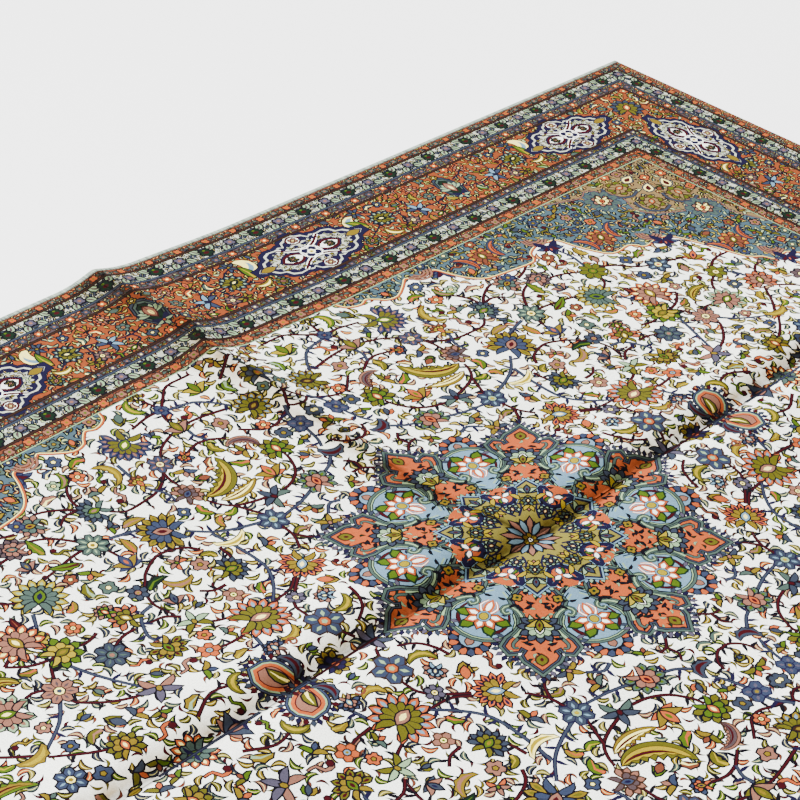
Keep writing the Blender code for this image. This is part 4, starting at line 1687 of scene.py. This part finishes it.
def noise(tree, scale, stretch=(1.0, 1.0, 1.0), detail=2.0):
    """Noise in the rug's own metres, with its grain stretched if asked."""
    place = node(tree, "ShaderNodeTexCoord").outputs["Object"]
    fit = node(tree, "ShaderNodeMapping", Scale=stretch, Vector=place).outputs["Vector"]
    return node(tree, "ShaderNodeTexNoise", Scale=scale, Detail=detail, Vector=fit).outputs["Fac"]


def ranged(tree, value, low, high, from_low=0.3, from_high=0.7):
    """A value remapped to run from low to high."""
    return node(tree, "ShaderNodeMapRange", Value=value, From_Min=from_low, From_Max=from_high,
                To_Min=low, To_Max=high).outputs["Result"]


def mixed(tree, first, second, share, blend="MIX"):
    """Two colours mixed. Each may be a colour or an output, and so may the share."""
    made = node(tree, "ShaderNodeMix", data_type="RGBA", blend_type=blend)
    for place, value in ((0, share), (6, first), (7, second)):
        feed(tree, made.inputs[place], value)
    return made.outputs[2]


def worked(tree, operation, *values, kind="ShaderNodeMath"):
    """The result of a math node. Each value may be a number or an output."""
    made = node(tree, kind, operation=operation)
    for socket, value in zip(made.inputs, values):
        feed(tree, socket, value)
    return made.outputs[0]


def dye_choice(tree, chance, dyes):
    """One of several dyes, picked by a value from 0 to 1."""
    ramp = node(tree, "ShaderNodeValToRGB", Fac=chance)
    ramp.color_ramp.interpolation = "CONSTANT"
    elements = ramp.color_ramp.elements
    while len(elements) < len(dyes):
        elements.new(0.5)
    for k in range(len(dyes)):
        elements[k].position = k / len(dyes)
    for element, dye in zip(elements, dyes):
        element.color = paint(dye)
    return ramp.outputs["Color"]


def leaf_places(tree, cell):
    """Places from the middle of each cell, turned by chance, and two more chance values."""
    place = node(tree, "ShaderNodeTexCoord").outputs["Object"]
    cells = node(tree, "ShaderNodeTexVoronoi", voronoi_dimensions="2D", Vector=place,
                 Scale=1.0 / cell, Randomness=0.75)
    away = worked(tree, "SUBTRACT", place, cells.outputs["Position"], kind="ShaderNodeVectorMath")
    chance = node(tree, "ShaderNodeSeparateColor", Color=cells.outputs["Color"]).outputs
    angle = worked(tree, "MULTIPLY", chance["Red"], 2.0 * math.pi)
    turn = node(tree, "ShaderNodeVectorRotate", rotation_type="Z_AXIS", Vector=away, Angle=angle)
    x, y, _ = node(tree, "ShaderNodeSeparateXYZ", Vector=turn.outputs[0]).outputs
    return x, y, chance["Green"], chance["Blue"]


def sown_leaves(tree, base, where, cell, length, width, bend, outline, share, vein, dyes):
    """Small curved leaves on a ground: one to a cell, each turned and dyed in its own way."""
    x, y, pick, luck = leaf_places(tree, cell)
    along = worked(tree, "DIVIDE", x, length)
    along = worked(tree, "MULTIPLY", along, along)
    across = worked(tree, "ABSOLUTE", worked(tree, "MULTIPLY_ADD", along, bend * width, y))
    reach = worked(tree, "MULTIPLY_ADD", across, 1.0 / width, along)
    spine = worked(tree, "MULTIPLY_ADD", across, 5.0 / width, along)
    grows = worked(tree, "MULTIPLY", where, worked(tree, "LESS_THAN", luck, share))
    for tone, measure, limit in ((paint("ink"), reach, 1.0 + outline),
                                 (dye_choice(tree, pick, dyes), reach, 1.0),
                                 (paint(vein), spine, 0.7)):
        part = worked(tree, "MULTIPLY", grows, worked(tree, "LESS_THAN", measure, limit))
        base = mixed(tree, base, tone, part)
    return base


SOWN = (
    (1, 0.0200, 0.0080, 0.0014, 3.2, 0.6, 0.60, "maroon", ("maroon", "rust", "olive", "brown")),
    (1, 0.0215, 0.0105, 0.0028, 2.2, 0.9, 0.85, "cream",
     ("olive", "gold", "coral", "slate", "leaf", "rose", "sage", "bronze")),
    (2, 0.0118, 0.0056, 0.0024, 1.2, 0.9, 0.95, "cream",
     ("navy", "olive", "sage", "slate", "gold", "rust", "forest", "celadon")),
    (5, 0.0120, 0.0050, 0.0017, 1.6, 0.4, 0.60, "ink", ("ink", "forest", "celadon")),
    (4, 0.0082, 0.0040, 0.0017, 1.2, 0.9, 0.95, "cream",
     ("slate", "navy", "sage", "lilac", "maroon", "celadon")),
    (3, 0.0080, 0.0037, 0.0016, 1.2, 0.9, 0.95, "cream", ("ink", "sage", "slate", "coral", "olive")),
)


def stored(tree, name, output="Fac"):
    """What a mesh stores under a name."""
    return node(tree, "ShaderNodeAttribute", attribute_name=name).outputs[output]


def silk_pile(name="silk_pile"):
    """Clipped silk in the chart's dyes, with the smallest leaves sown on each ground."""
    material, tree, shader = finish(name, "ivory", 0.65)
    ground = stored(tree, "ground")
    dye = stored(tree, "dye", "Color")
    for code, *leaves in SOWN:
        dye = sown_leaves(tree, dye, worked(tree, "COMPARE", ground, float(code), 0.3), *leaves)
    batch = ranged(tree, noise(tree, 9.0, (1.0, 0.12, 1.0)), 0.93, 1.05)
    knots = ranged(tree, noise(tree, 620.0, detail=1.0), 0.80, 1.16)
    toned = mixed(tree, dye, worked(tree, "MULTIPLY", batch, knots), 1.0, "MULTIPLY")
    # Painted shade on the fold flanks: a warm yellowish brown multiplied into the dyes.
    painted_flank_shade = mixed(tree, toned, paint((150, 126, 86)), 1.0, "MULTIPLY")
    # Painted shade in the crease bottoms: a dark brown multiplied into the dyes.
    painted_crease_shade = mixed(tree, toned, paint((70, 56, 44)), 1.0, "MULTIPLY")
    patch = ranged(tree, noise(tree, 40.0), 0.55, 1.0)
    flank = worked(tree, "MULTIPLY", stored(tree, "flank"), patch)
    crease = worked(tree, "MULTIPLY", stored(tree, "crease"), patch)
    # The dyes with the painted shade laid over them, each broken up by a soft noise.
    with_painted_shade = mixed(tree, mixed(tree, toned, painted_flank_shade, flank), painted_crease_shade, crease)
    feed(tree, shader.inputs["Base Color"], with_painted_shade)
    ridges = noise(tree, 700.0, (1.0, 0.7, 1.0), detail=1.0)
    bump = node(tree, "ShaderNodeBump", Strength=0.35, Distance=0.0006, Height=ridges)
    feed(tree, shader.inputs["Normal"], bump.outputs["Normal"])
    return material


def wrapped_yarn():
    """The overcast cord: close turns of pale yarn with a darker one among them."""
    material, tree, shader = finish("binding_yarn", (208, 212, 196), 0.7)
    turns = noise(tree, 60.0, (9.0, 0.6, 0.6), detail=1.0)
    share = ranged(tree, turns, 0.0, 1.0, 0.35, 0.68)
    tone = mixed(tree, paint((150, 160, 146)), paint((84, 94, 88)), share)
    feed(tree, shader.inputs["Base Color"], tone)
    bump = node(tree, "ShaderNodeBump", Strength=0.6, Distance=0.0008, Height=turns)
    feed(tree, shader.inputs["Normal"], bump.outputs["Normal"])
    return material


def knotted_back():
    """The back, where the same dyes show as flat, duller knots."""
    material, tree, shader = finish("knotted_back", "sand", 0.8)
    shade = ranged(tree, noise(tree, 500.0, detail=1.0), 0.7, 1.0)
    dull = mixed(tree, stored(tree, "dye", "Color"), paint((205, 200, 188)), 0.3)
    feed(tree, shader.inputs["Base Color"], mixed(tree, dull, shade, 1.0, "MULTIPLY"))
    return material


PILE_FINISH = silk_pile()
BACK_FINISH = knotted_back()
YARN_FINISH = wrapped_yarn()
print("materials:", len(bpy.data.materials))

# %% [markdown]
# ## The pile, piece by piece
#
# The rug is one cloth. It is meshed as four quarters of the field, four halves of the long
# borders with their corners, and two short borders, so that each piece stays light. The
# pieces meet along their seams, and all follow the same height function.

# %% Pile pieces
QUARTERS = {"left_far": (1, 1), "left_near": (-1, 1), "right_far": (1, -1), "right_near": (-1, -1)}
FIELD_ROOM = ((0.0, 0.0), (FIELD_X, FIELD_Y))
LONG_ROOM = ((0.0, FIELD_Y), (HALF_LENGTH, BODY_HALF_WIDTH))
SHORT_ROOM = ((FIELD_X, 0.0), (HALF_LENGTH, FIELD_Y))


field_map = knot_map(field_chart, "field_ground", *FIELD_ROOM)
long_map = knot_map(border_chart, "rust", *LONG_ROOM)
short_map = knot_map(border_chart, "rust", *SHORT_ROOM)
for name, (sx, sy) in QUARTERS.items():
    piece = pile_piece("field_" + name, quarter_cloth(field_map, sx, sy), PILE_FINISH)
    piece = pile_piece("long_border_" + name, quarter_cloth(long_map, sx, sy), PILE_FINISH)
for name, sx in (("far", 1), ("near", -1)):
    halves = [quarter_cloth(short_map, sx, sy) for sy in (1, -1)]
    piece = pile_piece("short_border_" + name, joined(halves), PILE_FINISH)
    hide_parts("rug_body")

# %% [markdown]
# ## The back
#
# The back of a knotted rug shows the same design, flatter and duller, because each knot
# passes right through. Only the larger outlines are kept here, since nobody sees more.

# %% Back pieces
def outline_area(points):
    """The area inside an outline."""
    x, y = points[:, 0], points[:, 1]
    return abs(np.sum(x * np.roll(y, -1) - np.roll(x, -1) * y)) / 2.0


BACK_ROOM = ((0.0, 0.0), (HALF_LENGTH, BODY_HALF_WIDTH))
BACK_LEAST = 40000.0
back_chart = [shape for shape in field_chart + border_chart if outline_area(shape[1]) > BACK_LEAST]
back_map = knot_map(back_chart, "ivory", *BACK_ROOM)


def back_piece(name, cloth):
    """One quarter of the back, face down on the same folds."""
    flat, tris, dye = cloth
    x, y = leaned(flat[:, 0], flat[:, 1])
    points = np.stack([x, y, lift(x, y)], 1)
    thing = mesh_object(name, points, tris[:, ::-1].tolist(), BACK_FINISH)
    store_dyes(thing.data, dye)
    unwrap(thing.data, flat[:, 0], flat[:, 1])
    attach(thing, "root")
    print(name, "has", len(tris), "triangles")


for name, (sx, sy) in QUARTERS.items():
    back_piece("back_" + name, quarter_cloth(back_map, sx, sy))

# %% [markdown]
# ## The bindings
#
# Each long side is finished with a cord overcast in yarn. Its section is a flattened round;
# rings of that section every few millimetres follow the folded edge. Two halves make a side.

# %% Bindings
BINDING_SECTION = np.array([
    (0.00, 0.00), (0.40, 0.00), (0.72, 0.00), (0.88, 0.10), (0.97, 0.28),
    (1.00, 0.52), (0.94, 0.72), (0.80, 0.88), (0.55, 1.00), (0.25, 1.00), (0.00, 1.00),
])
BINDING_WIDTH = 0.011
BINDING_HEIGHT = 0.0055


def binding_half(name, replaced, side, start, end):
    """Half of one side's cord."""
    xs = seam_places(start, end, 0.007)
    under = lift(xs, np.full(len(xs), side * HALF_WIDTH))
    tall = BINDING_HEIGHT * steepness(xs, np.full(len(xs), side * HALF_WIDTH))
    out, up = BINDING_SECTION[:, 0], BINDING_SECTION[:, 1]
    count = len(out)
    points = np.empty((len(xs), count, 3))
    points[:, :, 0] = xs[:, None]
    points[:, :, 1] = side * (HALF_WIDTH - BINDING_WIDTH * (1.0 - out))
    points[:, :, 2] = under[:, None] + tall[:, None] * up
    ring, k = np.meshgrid(np.arange(len(xs) - 1) * count, np.arange(count), indexing="ij")
    here, after = ring + k, ring + (k + 1) % count
    quads = np.stack([here, after, after + count, here + count], -1).reshape(-1, 4)
    if side > 0:
        quads = quads[:, ::-1]
    ends = [list(range(count)), [len(xs) * count - 1 - i for i in range(count)]]
    if side < 0:
        ends = [e[::-1] for e in ends]
    thing = mesh_object(name, points.reshape(-1, 3), quads.tolist() + ends, YARN_FINISH)
    thing.data.shade_smooth()
    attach(thing, "root")
    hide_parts(replaced)
    print(name, "has", len(quads) * 2, "triangles")


for name, side in (("binding_left", 1), ("binding_right", -1)):
    binding_half(name + "_near", name, side, -HALF_LENGTH, 0.0)
    binding_half(name + "_far", name, side, 0.0, HALF_LENGTH)

# %% [markdown]
# ## Floor, light and camera
#
# The rug is shown on a bare white floor in the even light of a photo studio. A wide, far lamp
# shines across the rug from its left side and gives the folds part of their shading; the rest
# is painted shade in the pile's finish. A soft lamp brightens the near left part, and a plain,
# bright sky fills the rest. The camera looks down across one corner of the rug with a long lens.

# %% Light and camera
def floor():
    """A wide white floor, a hair under the rug."""
    span, drop = 14.0, 0.0005
    points = np.array([(-span, -span, 0), (span, -span, 0), (span, span, 0), (-span, span, 0)])
    material, _, _ = finish("floor_white", (250, 250, 250), 0.9)
    thing = mesh_object("floor", points.astype(float), [(0, 1, 2, 3)], material)
    thing.location.z = -drop


def lamp(name, kind, spot, aim, power, **shape):
    """A lamp at a spot that shines along a direction. Its shape is a size or an angle."""
    light = bpy.data.lights.new(name, kind)
    light.energy = power
    for key, value in shape.items():
        setattr(light, key, value)
    thing = bpy.data.objects.new(name, light)
    thing.location = spot
    thing.rotation_euler = Vector(aim).to_track_quat("-Z", "Y").to_euler()
    bpy.context.scene.collection.objects.link(thing)


def sky(strength):
    """An even white surround."""
    world = bpy.data.worlds.new("studio")
    world.use_nodes = True
    world.node_tree.nodes["Background"].inputs["Color"].default_value = (1.0, 1.0, 1.0, 1.0)
    world.node_tree.nodes["Background"].inputs["Strength"].default_value = strength
    bpy.context.scene.world = world


floor()
lamp("key", "SUN", (0.0, 0.0, 0.0), (0.20, -0.85, -0.60), 15.0, angle=math.radians(20.0))
lamp("left_fill", "AREA", (-1.7, 1.5, 1.5), (0.9, -1.0, -1.5), 40.0, size=1.2)
sky(1.5)

CAMERA_SPOT = Vector((-1.9351, -1.3324, 1.8312))
CAMERA_RIGHT = Vector((0.6801, -0.7277, 0.0884))
CAMERA_UP = Vector((0.3660, 0.4416, 0.8192))
CAMERA_BACK = Vector((-0.6352, -0.5248, 0.5667))
lens = bpy.data.cameras.new("camera")
lens.lens = 93.99
lens.sensor_width = 36.0
camera = bpy.data.objects.new("camera", lens)
axes = Matrix((CAMERA_RIGHT, CAMERA_UP, CAMERA_BACK)).transposed()
camera.matrix_world = Matrix.Translation(CAMERA_SPOT) @ axes.to_4x4()
bpy.context.scene.collection.objects.link(camera)
bpy.context.scene.camera = camera
print("camera looks", [round(-v, 3) for v in CAMERA_BACK])
